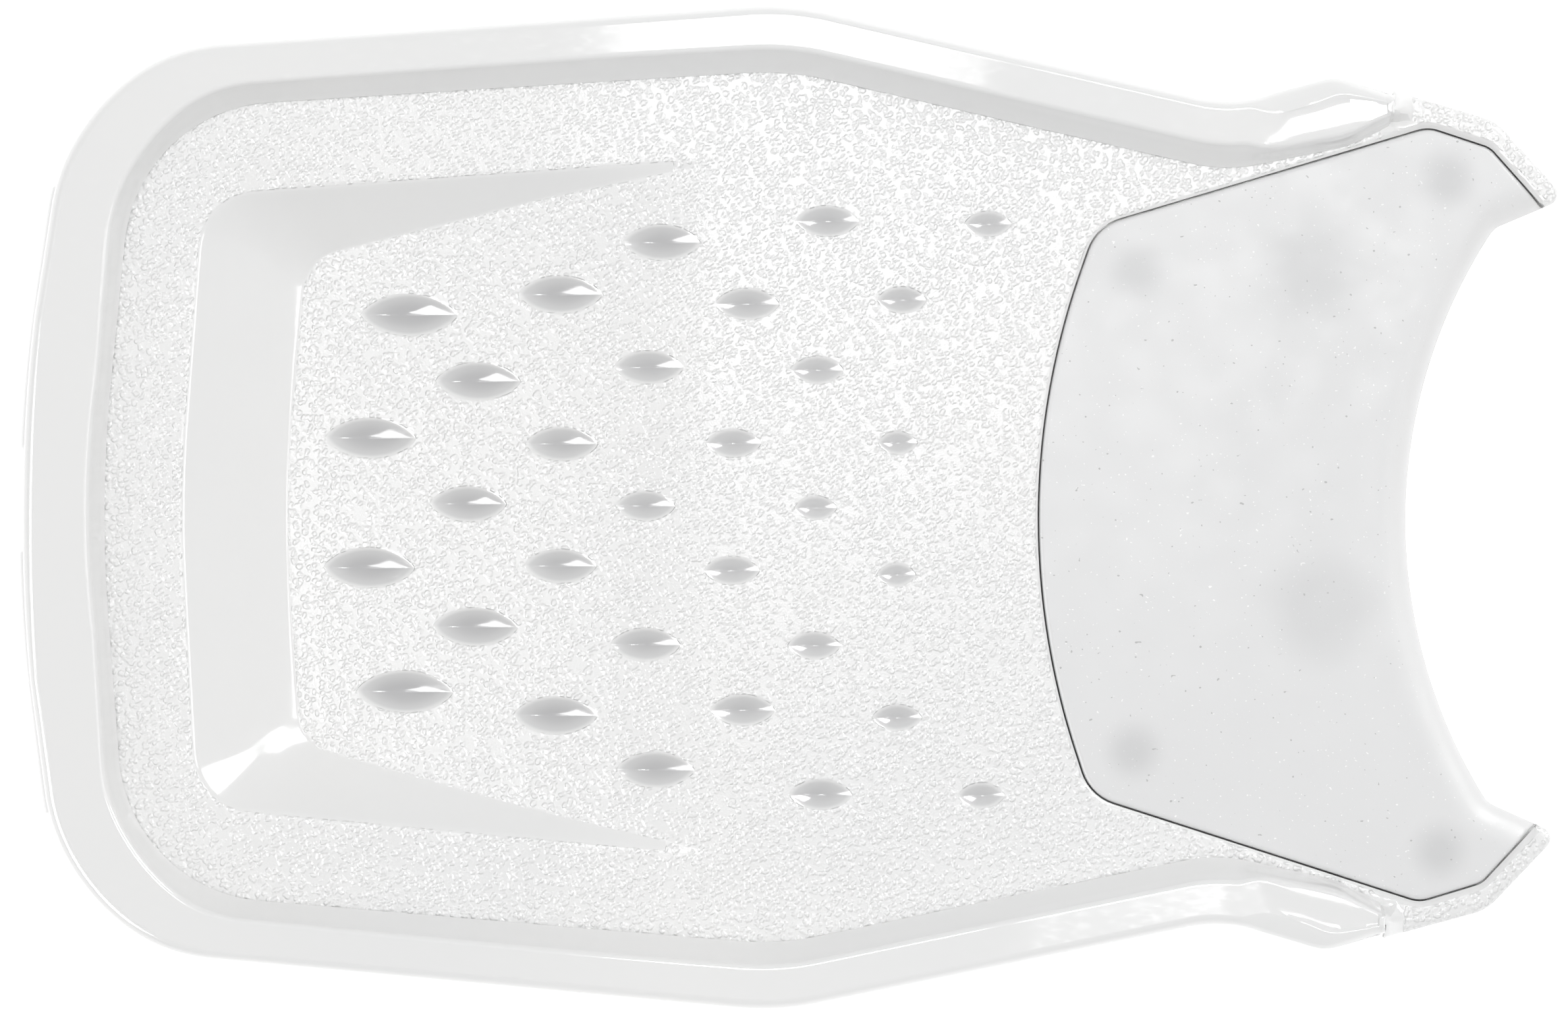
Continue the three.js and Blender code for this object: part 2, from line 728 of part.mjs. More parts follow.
const bedpan = new THREE.Group();

function place(name, geometry, material) {
  const mesh = new THREE.Mesh(geometry, material);
  mesh.name = name;
  bedpan.add(mesh);
}

place("tray", tray(), grained);
place("rim", rim(), gloss);
place("base_shell", base(), shellWhite);
place("seam_seal", seal(), rubber);
place("back_pad", backPad(), softPad);
for (const [name, x, y] of bothSides(STUD_PLACES)) place(`pad_stud_${name}`, padStud(x, y), studWhite);
for (const [name, x, y] of bothSides(FOOT_PLACES)) place(`foot_${name}`, rubberFoot(x, y), rubber);
for (const [name, x, y] of bothSides(SCREW_PLACES)) place(`base_screw_${name}`, baseScrew(x, y), steel);

export default bedpan;
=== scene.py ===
"""A white contoured bedpan on a plain white table, seen from straight above.

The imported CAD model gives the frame. Every shown piece is built here, finer, in the same place.
Lengths in the shape functions are millimetres on the frame's axes; make_object() turns them into metres.
"""

import math

import bmesh
import bpy
import numpy as np
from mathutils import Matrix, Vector
from mathutils.geometry import delaunay_2d_cdt


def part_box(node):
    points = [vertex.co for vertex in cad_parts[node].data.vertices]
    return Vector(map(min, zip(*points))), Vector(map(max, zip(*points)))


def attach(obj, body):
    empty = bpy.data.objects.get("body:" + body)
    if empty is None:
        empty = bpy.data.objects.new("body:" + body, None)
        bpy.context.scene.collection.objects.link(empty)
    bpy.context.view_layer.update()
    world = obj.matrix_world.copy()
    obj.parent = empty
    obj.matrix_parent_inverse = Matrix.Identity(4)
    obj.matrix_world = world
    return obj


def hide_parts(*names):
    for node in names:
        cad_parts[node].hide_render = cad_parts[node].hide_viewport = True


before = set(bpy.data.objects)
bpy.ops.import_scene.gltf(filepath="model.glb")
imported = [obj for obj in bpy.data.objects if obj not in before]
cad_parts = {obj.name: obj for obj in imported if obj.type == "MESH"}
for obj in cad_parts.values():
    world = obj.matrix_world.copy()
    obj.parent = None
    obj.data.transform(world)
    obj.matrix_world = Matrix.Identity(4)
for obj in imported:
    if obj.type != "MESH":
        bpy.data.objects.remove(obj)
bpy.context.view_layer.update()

MM = 0.001


# ---------- Sizes, from the frame where it has them ----------


def cad_low(node):
    return np.array(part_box(node)[0]) / MM


def cad_high(node):
    return np.array(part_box(node)[1]) / MM


def cad_middle(node):
    return (cad_low(node) + cad_high(node)) / 2


RIM_HIGH = cad_high("rim")[2]
RIM_END_X = cad_high("rim")[0]
RIM_FALL = 16.0  # how far the rim comes down towards the horns
RIM_FALL_FROM = -60.0
RIM_FALL_TO = 150.0
RIM_OVER_DECK = 13.0
RIM_SKIRT = 24.0

CROWN_HEIGHT = 3.0  # the deck's rise towards its centre line
CROWN_HALF_WIDTH = 107.0
CROWN_FROM = -172.0
CROWN_FULL = -105.0
WING_DROOP = 4.0  # how far the wings' tips hang
WING_FROM = 140.0
WING_LENGTH = 50.0
WING_FULL = 152.0
WING_RAISE = 1.2
WING_BEVEL = 1.4
WING_SKIRT = 16.0
ROOT_RISE = 9.0  # the tray's blend up to the horns' ends
ROOT_LENGTH = 6.2
DECK_THICK = 3.6
WALL = 3.0
GAP = 0.35

SUMP_DEPTH = 18.0
SUMP_END_X = -123.0
SUMP_FADE_X = -27.0
SUMP_FADE_ROUND = 14.0
SUMP_TIP_X = -13.0
SUMP_ROUND = 1.1

PAD_THICK = 5.0
PAD_HIDDEN = PAD_THICK + GAP
PAD_LIP = 16.0
PAD_SEAM = 0.06
ROLL_WIDE = 8.5  # the pad's rolled edge along the notch
ROLL_DEEP = 6.0
LIP_THICK = 4.83

FLOOR_Z = cad_low("base_shell")[2]
STUDS = [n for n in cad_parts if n.startswith("pad_stud_")]
FEET = [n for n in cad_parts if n.startswith("foot_")]
SCREWS = [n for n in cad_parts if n.startswith("base_screw_")]
STUD_HOLE_RADIUS = 4.3
FOOT_RADIUS = 9.0
SCREW_HEAD_RADIUS = 3.8
SCREW_POCKET_RADIUS = SCREW_HEAD_RADIUS + 0.5
FAR = 9.0  # stands for any distance at which an edge has no effect


def middles(nodes):
    return [cad_middle(n)[:2] for n in nodes]


# ---------- Heights ----------


def smooth(x, low, high):
    t = np.clip((x - low) / (high - low), 0, 1)
    return t * t * (3 - 2 * t)


def soft_positive(d, width):
    """max(d, 0) with its corner rounded over +-width."""
    return np.where(d > width, d, np.where(d < -width, 0, (d + width) ** 2 / (4 * width)))


def rim_top(x):
    return RIM_HIGH - RIM_FALL * smooth(x, RIM_FALL_FROM, RIM_FALL_TO)


def deck(x, y):
    wing = np.maximum(0, (x - WING_FROM) / WING_LENGTH)
    across = np.maximum(0, 1 - (y / CROWN_HALF_WIDTH) ** 2)
    crown = CROWN_HEIGHT * across * smooth(x, CROWN_FROM, CROWN_FULL)
    return rim_top(x) - RIM_OVER_DECK - WING_DROOP * wing**2 + crown


def sump_depth(x):
    return SUMP_DEPTH * soft_positive(SUMP_FADE_X - x, SUMP_FADE_ROUND) / (SUMP_FADE_X - SUMP_END_X)


# ---------- Outlines ----------
# A corner is (x, y, fillet radius). Half outlines run from the left end to the right end on the +Y side.

RIM_OUTER = [(RIM_END_X, 104.7, 0), (133.2, 109.2, 11), (108.4, 101.9, 35), (-0.9, 125.05, 70),
             (-178.5, 110, 48), (-192.9, 0, 360)]
RIM_INNER = [(RIM_END_X, 96, 0), (137, 90.6, 20), (107, 84.2, 38), (-0.9, 107.3, 70),
             (-160.5, 95.5, 38), (-168.8, 0, 340)]
NOTCH = [(174.2, 71, 6), (129.1, 0, 129)]
PAN = [(-192.9, 0, 360), (-178.5, 110, 48), (-0.9, 125.05, 70), (106.6, 102, 26), (122, 105.6, 12),
       (134, 107.6, 12), (146.4, 105.71, 0), (148.6, 105.06, 0), (174, 97.5, 12), (191.8, 78.6, 3), *NOTCH]
PAD = [(51.8, 0, 183), (75.5, 70.05, 12), (157.3, 95.5, 8), (172.6, 90.7, 6), (186, 76.1, 0), *NOTCH]
TRAY_SIDE = [(-189.6, 0, 357), (-175.6, 107.1, 45), (-0.9, 121.8, 67), (108.6, 98.6, 38), (133, 105.9, 8),
             (RIM_END_X + 0.05, 101.1, 0.02), (RIM_END_X + 0.05, 104.7, 0.3), (174, 97.5, 12),
             (191.8, 78.6, 3)]
SUMP_TOP = [(-149.2, 0, 300), (-144.3, 75, 15), (SUMP_TIP_X, 85.8, 0)]
SUMP_FOOT = [(-124.4, 0, 300), (-119.5, 60, 11), (-62, 74.9, 60), (SUMP_TIP_X, 85.8, 0)]


def mirrored(half):
    """Both halves of a half outline, anticlockwise from its left end. Points on the axis stay single."""
    down = [(x, -y, r) for x, y, r in half]
    up = [c for c in reversed(half) if c[1] > 1e-9]
    return down + up


def cross(a, b):
    return a[..., 0] * b[..., 1] - a[..., 1] * b[..., 0]


def inset(corners, distances):
    """Moves each edge inwards by its own distance. distances[i] belongs to the edge after corner i."""
    p = np.array([c[:2] for c in corners], float)
    along = np.roll(p, -1, 0) - p
    along /= np.linalg.norm(along, axis=1)[:, None]
    inward = np.stack([-along[:, 1], along[:, 0]], 1)
    start = p + inward * np.asarray(distances, float)[:, None]
    made = []
    for i, (_, _, r) in enumerate(corners):
        turn = cross(along[i - 1], along[i])
        if abs(turn) < 1e-6:
            made.append((*start[i], r))
            continue
        t = cross(start[i] - start[i - 1], along[i]) / turn
        at = start[i - 1] + along[i - 1] * t
        change = min(distances[i - 1], distances[i])
        made.append((*at, r and max(0.4, r - math.copysign(1, turn) * change)))
    return made


def arc(before, corner, after, count):
    """count + 1 points of a corner's fillet."""
    here = np.array(corner[:2], float)
    a = np.array(before[:2], float) - here
    b = np.array(after[:2], float) - here
    a /= np.linalg.norm(a)
    b /= np.linalg.norm(b)
    half = math.acos(max(-1.0, min(1.0, float(a @ b)))) / 2
    r = corner[2]
    if r == 0 or half > math.pi / 2 - 1e-4:
        return np.repeat(here[None], count + 1, 0) if count else here[None]
    bisector = (a + b) / np.linalg.norm(a + b)
    centre = here + bisector * r / math.sin(half)
    first = here + a * r / math.tan(half) - centre
    last = here + b * r / math.tan(half) - centre
    sweep = math.atan2(cross(first, last), first @ last)
    angles = sweep * np.linspace(0, 1, count + 1)
    c, s = np.cos(angles), np.sin(angles)
    return centre + np.stack([first[0] * c - first[1] * s, first[0] * s + first[1] * c], 1)


def arc_length(before, corner, after):
    points = arc(before, corner, after, 8)
    return np.linalg.norm(np.diff(points, axis=0), axis=1).sum() if corner[2] else 0.0


def loop(corners, step=1.6):
    """A closed outline as points about a step apart, closer in tight corners."""
    n = len(corners)
    arcs = []
    for i, corner in enumerate(corners):
        before, after = corners[i - 1], corners[(i + 1) % n]
        length = arc_length(before, corner, after)
        count = max(int(length / step), 6) if length > 0.5 else 0
        arcs.append(arc(before, corner, after, count))
    points = []
    for i, part in enumerate(arcs):
        points.extend(part)
        a, b = part[-1], arcs[(i + 1) % n][0]
        pieces = max(1, int(np.linalg.norm(b - a) / step))
        points.extend(a + (b - a) * k / pieces for k in range(1, pieces))
    points = np.array(points)
    keep = np.linalg.norm(points - np.roll(points, 1, 0), axis=1) > 0.02
    return points[keep]


def distance(points, path, closed=True):
    """Distance to a polyline, negative inside it where it is closed."""
    path = np.asarray(path, np.float32)
    start, end = (path, np.roll(path, -1, 0)) if closed else (path[:-1], path[1:])
    (ax, ay), (bx, by) = start.T, end.T
    ex, ey = bx - ax, by - ay
    share = 1 / np.maximum(ex * ex + ey * ey, 1e-12)
    run = ex / np.where(ey == 0, 1e-12, ey)
    result = np.empty(len(points))
    for first in range(0, len(points), 1500):
        px, py = np.asarray(points[first:first + 1500], np.float32).T[:, :, None]
        gx, gy = px - ax, py - ay
        t = np.clip((gx * ex + gy * ey) * share, 0, 1)
        nearest = np.sqrt(((gx - t * ex) ** 2 + (gy - t * ey) ** 2).min(1))
        if closed:
            crosses = ((ay > py) != (by > py)) & (gx < gy * run)
            nearest = np.where(crosses.sum(1) % 2 == 1, -nearest, nearest)
        result[first:first + 1500] = nearest
    return result


def offset(path, amount, closed=True):
    """A polyline moved to its left, without the points that a tight corner folds over."""
    if closed:
        ahead, behind = np.roll(path, -1, 0), np.roll(path, 1, 0)
    else:
        ahead = np.vstack([path[1:], path[-1:]])
        behind = np.vstack([path[:1], path[:-1]])
    along = ahead - behind
    along /= np.maximum(np.linalg.norm(along, axis=1), 1e-9)[:, None]
    moved = path + np.stack([-along[:, 1], along[:, 0]], 1) * amount
    return moved[np.abs(distance(moved, path, closed)) > abs(amount) * 0.93]


# ---------- Meshes ----------


class Shape:
    """Vertices, faces and per-vertex numbers of one piece, in millimetres."""

    def __init__(self):
        self.points = []
        self.faces = []
        self.numbers = {}
        self.count = 0

    def add(self, points, faces, **numbers):
        points = np.asarray(points, float).reshape(-1, 3)
        self.points.append(points)
        self.faces.extend(tuple(i + self.count for i in face) for face in faces)
        for name in set(self.numbers) | set(numbers):
            column = self.numbers.setdefault(name, [np.zeros(self.count)])
            column.append(np.broadcast_to(np.asarray(numbers.get(name, 0.0), float), len(points)))
        self.count += len(points)


def make_object(name, shape, material, body, nodes, sharp=32.0):
    mesh = bpy.data.meshes.new(name)
    points = np.vstack(shape.points) * MM
    mesh.from_pydata(points.tolist(), [], shape.faces)
    for key, parts in shape.numbers.items():
        attribute = mesh.attributes.new(key, "FLOAT", "POINT")
        attribute.data.foreach_set("value", np.concatenate(parts).astype(np.float32))
    made = bpy.data.objects.new(name, mesh)
    bpy.context.scene.collection.objects.link(made)
    weld(mesh)
    mesh.shade_smooth()
    mesh.set_sharp_from_angle(angle=math.radians(sharp))
    mesh.materials.append(material)
    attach(made, body)
    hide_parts(*nodes)
    return made


def weld(mesh):
    b = bmesh.new()
    b.from_mesh(mesh)
    bmesh.ops.remove_doubles(b, verts=b.verts, dist=2e-6)
    bmesh.ops.dissolve_degenerate(b, edges=b.edges, dist=1e-7)
    b.to_mesh(mesh)
    b.free()


def triangulate(loops, extra, inside, open_paths=(), tolerance=1e-5):
    """Delaunay triangles over outlines and free points, kept where inside(centres) holds."""
    points, edges = [], []
    for path, closed in [(p, True) for p in loops] + [(p, False) for p in open_paths]:
        start = len(points)
        points.extend(path)
        n = len(path)
        edges.extend((start + i, start + (i + 1) % n) for i in range(n if closed else n - 1))
    points.extend(extra)
    found = delaunay_2d_cdt([Vector(p) for p in points], edges, [], 0, tolerance, False)
    flat = np.array([tuple(v) for v in found[0]])
    triangles = np.array(found[2])
    return flat, triangles[inside(flat[triangles].mean(1))]


def grid(low, high, step):
    """Points of a staggered grid."""
    xs = np.arange(low[0], high[0] + step, step)
    ys = np.arange(low[1], high[1] + step, step * 0.87)
    gx, gy = np.meshgrid(xs, ys)
    gx = gx + (np.arange(len(ys)) % 2)[:, None] * step / 2
    return np.stack([gx.ravel(), gy.ravel()], 1)


def circle(x, y, r, sides):
    a = np.linspace(0, 2 * math.pi, sides, endpoint=False)
    return np.column_stack([x + r * np.cos(a), y + r * np.sin(a)])


def clear_of(points, paths, room):
    """The points that stay at least room away from every path."""
    for path, closed in paths:
        points = points[np.abs(distance(points, path, closed)) > room]
    return points


def slab(shape, flat, triangles, tops, bottom, region, flip=False, walls=True, **numbers):
    """A closed body between height fields on one triangulation, with a step where the region changes."""
    size = len(flat)
    side = -1 if flip else 1
    for z in tops:
        shape.add(np.column_stack([flat, z]), [], **numbers)
    shape.add(np.column_stack([flat, bottom]), [], **{k: -1.0 for k in numbers})
    start = shape.count - size * (len(tops) + 1)
    under = start + size * len(tops)
    edges = {}
    for t, r in zip(triangles.tolist(), region.tolist()):
        a, b, c = t
        top = start + r * size
        shape.faces.append((top + a, top + b, top + c)[::side])
        shape.faces.append((under + a, under + c, under + b)[::side])
        for edge in ((a, b), (b, c), (c, a)):
            edges[edge] = r
    for (a, b), r in edges.items():
        other = edges.get((b, a))
        here = start + r * size
        if other is None and walls:
            shape.faces.append((here + a, under + a, under + b, here + b)[::side])
        elif other is not None and other > r:
            there = start + other * size
            shape.faces.append((here + a, there + a, there + b, here + b)[::side])


def loft(shape, rings, closed_ends=False, **numbers):
    """Joins rings of equal length, each (n, 3), in order."""
    n = len(rings[0])
    faces = []
    for k in range(len(rings) - 1):
        for i in range(n):
            j = (i + 1) % n
            faces.append((k * n + i, (k + 1) * n + i, (k + 1) * n + j, k * n + j))
    if closed_ends:
        faces.append(tuple(range(n)))
        last = (len(rings) - 1) * n
        faces.append(tuple(last + i for i in reversed(range(n))))
    shape.add(np.vstack(rings), faces, **numbers)


def turned(shape, profile, x, y, sides=48, **numbers):
    """A turned body. profile runs (radius, z) from the axis at the bottom to the axis at the top."""
    angles = np.linspace(0, 2 * math.pi, sides, endpoint=False)
    rings = []
    for r, z in profile[1:-1]:
        rings.append(np.column_stack([x + r * np.cos(angles), y + r * np.sin(angles), np.full(sides, z)]))
    start = shape.count
    loft(shape, rings[::-1], **numbers)
    last = start + (len(rings) - 1) * sides
    shape.add([[x, y, profile[-1][1]], [x, y, profile[0][1]]], [], **numbers)
    top, low = shape.count - 2, shape.count - 1
    for i in range(sides):
        j = (i + 1) % sides
        shape.faces.append((top, start + i, start + j))
        shape.faces.append((low, last + j, last + i))


# ---------- Dents ----------

# (distance from the centre line, x): staggered columns, mirrored about the centre line.
DENT_ROWS = [(16, -102.9), (46.4, -93.7), (0, -78.5), (30.2, -76.4), (15, -55.6), (51.7, -56.4), (0, -34.8),
             (34, -34.4), (64.7, -31.6), (15.6, -13.4), (49.8, -10.4), (0, 7), (33.8, 7), (70.4, 9), (16.2, 27),
             (51.3, 27.6), (70.3, 48.6)]
DENT_LENGTH = 21.0
DENT_FULL_X = -100.0
DENT_DEPTH_SHARE = 0.34
DENT_POINTEDNESS = 0.72


def dent_places():
    """(x, y, length, width) of every dent. They shrink towards the pad."""
    places = []
    for y, x in DENT_ROWS:
        length = DENT_LENGTH - 0.1 * (x - DENT_FULL_X) + 0.075 * y
        sides = (y, -y) if y else (y,)
        places.extend((x, side, length, 2.4 + 0.33 * length) for side in sides)
    return places


DENTS = dent_places()


def dent_width(u, width):
    return width / 2 * np.maximum(1 - u * u, 0) ** DENT_POINTEDNESS


def dent_points():
    """Points that follow each dent's keel, flanks and lip."""
    points = []
    across = [0, 0.07, 0.2, 0.4, 0.6, 0.78, 0.88, 0.95, 1.0, 1.05, 1.1]
    for x, y, length, width in DENTS:
        for u in np.sin(np.linspace(-1, 1, 27) * math.pi / 2 * 0.98):
            w = dent_width(u, width)
            for v in across:
                spread = w * v if v <= 1 else w + 6 * (v - 1)
                points.append((x + u * length / 2, y + spread))
                if v:
                    points.append((x + u * length / 2, y - spread))
        points.extend([(x - length / 2, y), (x + length / 2, y)])
    return np.array(points)


def dent_shape(p):
    """(depth, distance outside the lip) of the dents at each point."""
    depth = np.zeros(len(p))
    outside = np.full(len(p), 99.0)
    for x, y, length, width in DENTS:
        near = np.abs(p[:, 0] - x) < length / 2 + 3
        near &= np.abs(p[:, 1] - y) < width / 2 + 3
        u = np.clip((p[near, 0] - x) / (length / 2), -1, 1)
        w = dent_width(u, width)
        from_keel = np.abs(p[near, 1] - y)
        beyond = np.maximum(np.abs(p[near, 0] - x) - length / 2, 0)
        outside[near] = np.minimum(outside[near], np.hypot(np.maximum(from_keel - w, 0), beyond)
                                   + np.minimum(from_keel - w, 0) * (beyond == 0))
        inwards = soft_positive(w - np.sqrt(from_keel**2 + 0.03), 0.35)
        share = np.clip(inwards / np.maximum(w, 0.5), 0, 1)
        cut = 0.55 * share + 0.45 * share * (2 - share)
        depth[near] = np.maximum(depth[near], DENT_DEPTH_SHARE * width * (1 - u * u) * cut)
    return depth, outside


# ---------- Tray ----------


def pad_outline(grown, notch=0.0):
    """The pad's outline moved outwards by grown, and its notch edges inwards by notch."""
    edges = len(PAD)
    distances = [-grown] * (edges - 3) + [notch, notch]
    distances = distances + distances[::-1]
    corners = mirrored(PAD)
    return inset(corners, distances[:len(corners)])


def tray_outline():
    """The tray from above: its notch edge is set back where the pad's lip hangs over it."""
    set_back = [c for c in pad_outline(GAP, PAD_HIDDEN) if -1e-6 <= c[1] < 80 and c[0] > 100]
    set_back = sorted(set_back, key=lambda c: -c[1])
    return mirrored(TRAY_SIDE + [(186.3, 76.25, 0.3)] + [(x, max(y, 0), r) for x, y, r in set_back])


def wing_raise(p, from_pad):
    return WING_RAISE * smooth(p[:, 0], WING_FROM, WING_FULL) * smooth(from_pad, 0.1, WING_BEVEL)


def edge_drop(d, radius):
    """How much a rounded edge lies under its surface, at a distance d in from the edge."""
    t = np.clip(1 - d / radius, 0, 1)
    return radius * (1 - np.sqrt(1 - t * t * 0.98))


def pad_opening(outer):
    """The open edge line of the pad's recess, from one wing tip round to the other."""
    opening = loop(pad_outline(GAP))
    opening = opening[distance(opening, outer) < -0.02]
    first = np.argmin(np.linalg.norm(opening - np.roll(opening, 1, 0), axis=1) < 5)
    return np.roll(opening, -first, 0)


def away_from_studs(points, radius):
    keep = np.ones(len(points), bool)
    for x, y in middles(STUDS):
        keep &= np.hypot(points[:, 0] - x, points[:, 1] - y) > radius
    return keep


def tray_points(outer, opening, sump_lines):
    """Free points of the tray: rows beside every edge, the dents and an even grid between."""
    rings = []
    for path in sump_lines:
        for d in (-1.3, -0.8, -0.4, 0, 0.4, 0.8, 1.3):
            ring = offset(path, d) if d else path
            rings.append(ring[ring[:, 0] < SUMP_TIP_X - 1])
    for d in (0.12, 0.35, 0.7, 1.1, 1.6):
        ring = offset(tray_with_notch(), d)
        rings.append(ring[ring[:, 0] > 149.2])
    for d in (0.2, 0.5, 0.9, 1.4, 2.0):
        rings.append(offset(opening, -d, False))
    for past in (0.06, 0.4, 0.9, 1.6):
        column = [(RIM_END_X + past, side * y) for y in np.arange(94, 105.6, 0.7) for side in (-1, 1)]
        rings.append(np.array(column))
    between = grid((-192, -126), (192, 126), 1.9)
    between = clear_of(between, [(outer, True)], 0.8)
    between = clear_of(between, [(path, True) for path in sump_lines], 1.7)
    between = clear_of(between, [(opening, False)], 1.6)
    between = between[dent_shape(between)[1] > 1.2]
    extra = np.vstack([r for r in rings if len(r)] + [dent_points(), between])
    extra = extra[distance(extra, outer) < -0.08]
    return extra[away_from_studs(extra, STUD_HOLE_RADIUS + 0.6)]


def tray_with_notch():
    return loop(mirrored(TRAY_SIDE + NOTCH))


def horn_root(x, y):
    """The tray's blend up to the horn's end."""
    y = np.abs(y)
    rise = ROOT_RISE * (1 - smooth(x, RIM_END_X - 1, RIM_END_X + ROOT_LENGTH)) * smooth(y, 96.5, 99.5)
    return rise * (x > RIM_END_X + 0.03) * (1 - 0.6 * smooth(y, 100.5, 105.2))


def build_tray():
    outer = loop(tray_outline())
    opening = pad_opening(outer)
    recess_line = loop(pad_outline(GAP, -1.0))
    sump_top = loop(mirrored(SUMP_TOP))
    sump_foot = loop(mirrored(SUMP_FOOT))
    holes = [circle(x, y, STUD_HOLE_RADIUS, 28) for x, y in middles(STUDS)]
    extra = tray_points(outer, opening, (sump_top, sump_foot))

    def inside(c):
        return (distance(c, outer) < 0) & away_from_studs(c, STUD_HOLE_RADIUS - 0.05)

    flat, triangles = triangulate([outer, *holes], extra, inside, [opening], 1e-4)
    in_pad = distance(flat[triangles].mean(1), recess_line) < 0
    x, y = flat.T
    level = deck(x, y)

    below_top = -distance(flat, sump_top)
    above_foot = distance(flat, sump_foot)
    a, b = soft_positive(below_top, SUMP_ROUND), soft_positive(above_foot, SUMP_ROUND / 2)
    sump = sump_depth(np.maximum(x, SUMP_END_X)) * np.where(a > 0, a / np.maximum(a + b, 1e-6), 0)
    depth, outside_dent = dent_shape(flat)
    from_pad = np.abs(distance(flat, opening, False))
    wings = tray_with_notch()
    wings = wings[wings[:, 0] > RIM_END_X]
    from_edge = np.where(x > RIM_END_X, np.abs(distance(flat, wings, False)), FAR)
    top = level - sump - depth + wing_raise(flat, from_pad) + horn_root(x, y)
    top -= edge_drop(from_edge, 1.8) + 0.45 * np.clip(1 - from_pad / 0.8, 0, 1) ** 2

    bottom = np.minimum(level - DECK_THICK, top - 1.8)
    bottom = np.where(distance(flat, recess_line) < 3, level - PAD_HIDDEN - WALL, bottom)
    bottom = np.where(sump > 0.2, np.minimum(bottom, level - sump - WALL), bottom)
    skirt = (x > 149.0) & (-distance(flat, outer) < WALL)
    bottom = np.where(skirt, level - WING_SKIRT, bottom)

    bare_facet = np.where(x < SUMP_TIP_X - 15, np.maximum(-below_top, -above_foot), FAR)
    bare_bevel = np.where(x > 146, from_pad - WING_BEVEL, FAR)
    bare_root = np.where((np.abs(y) > 94) & (x > RIM_END_X - 3), x - RIM_END_X - 5.0, FAR)
    grain = np.minimum.reduce([bare_facet, outside_dent, bare_bevel, bare_root, from_pad - 0.5])
    shape = Shape()
    tops = [top, level - PAD_HIDDEN]
    # The dents' depth also goes to the material, which uses it to paint shade into the dents.
    slab(shape, flat, triangles, tops, bottom, in_pad.astype(int), grain=grain, thin=depth)
    return shape


# ---------- Rim ----------

HORN_FLAT = [(116.4, 89.4), (121, 98.3), (136.6, 102.8), (147.6, 100.8), (147.6, 97.9)]
END_ROUND = 1.6


def rim_section(width, solid, x):
    """Points of the rim's section: (distance in from the outer edge, height under the top)."""
    left = 1 - smooth(x, -178.0, -150.0)
    horn = smooth(x, 112.0, 121.0)
    flat_from = 4.2 + 1.3 * left + horn * (2.9 - 3.0 * smooth(x, 122.0, 147.0))
    wall = 6.3 - 1.9 * left - 2.9 * horn
    flat_to = max(width - wall, flat_from + 0.5)
    points = [(0.0, -RIM_SKIRT), (0.5, -18.0), (1.0, -12.0)]
    crease = 1.6 + 1.3 * left
    points += [(crease - 0.15, -6.6), (crease + 0.15, -6.35), (crease + 0.15, -6.1), (crease - 0.1, -5.8)]
    turn = math.pi / 2 * (1 - 0.3 * horn)
    for a in np.linspace(0, 1, 12):
        across = (1 - math.cos(a * turn)) / (1 - math.cos(turn))
        under_top = 4.2 * math.sin(a * turn) / math.sin(turn) - 4.2
        points.append((crease + (flat_from - crease) * across, under_top))
    for t in (0.03, 0.15, 0.3, 0.45, 0.6, 0.75, 0.88, 0.97):
        points.append((flat_from + (flat_to - flat_from) * t, 0.0))
    tilt = 0.35 * horn
    for a in np.linspace(0, 1, 9):
        angle = tilt + a * (1.25 - tilt)
        past = 1.5 * (math.sin(angle) - math.sin(tilt))
        points.append((flat_to + past, -2.0 * (math.cos(tilt) - math.cos(angle))))
    x0, z0 = points[-1]
    foot = -RIM_OVER_DECK + GAP
    for t in (0.2, 0.4, 0.6, 0.8, 0.93):
        points.append((x0 + (width - 0.5 - x0) * (t**1.12), z0 + (foot + 0.8 - z0) * t))
    points.append((width - 0.15, foot + 0.25))
    points.append((width, foot))
    inner = foot if solid else -3.0
    points.append((width - 2.4, foot))
    points.append((width - 3.6, foot if solid else -6.0))
    points.append((flat_to - 0.5, inner))
    points.append((flat_from + 1.2, inner))
    points.append((flat_from - 0.2, foot if solid else -7.0))
    points.append((2.9, -RIM_SKIRT))
    return points


def horn_plane(x, y):
    """How far inside the horn's flat top a point lies. The flat narrows to a blunt tip at the horn's end."""
    inside = 99.0
    for (ax, ay), (bx, by) in zip(HORN_FLAT, HORN_FLAT[1:] + HORN_FLAT[:1]):
        length = math.hypot(bx - ax, by - ay)
        inside = min(inside, ((x - ax) * (by - ay) - (abs(y) - ay) * (bx - ax)) / length)
    return inside


def bank(x, y):
    """The top's slight tilt: inwards on the falling part and outwards on the horn's flat."""
    edge = 125.05 - 0.212 * (x + 0.9) if x < 108.4 else 101.9 + 0.294 * (x - 108.4)
    fall = 0.06 * smooth(x, 46, 62) * min(abs(y) - edge, 0)
    inside = float(smooth(horn_plane(x, y), -0.1, 0.3))
    flat = -0.85 - 0.035 * (abs(y) - 97)
    return fall + inside * (flat - fall)


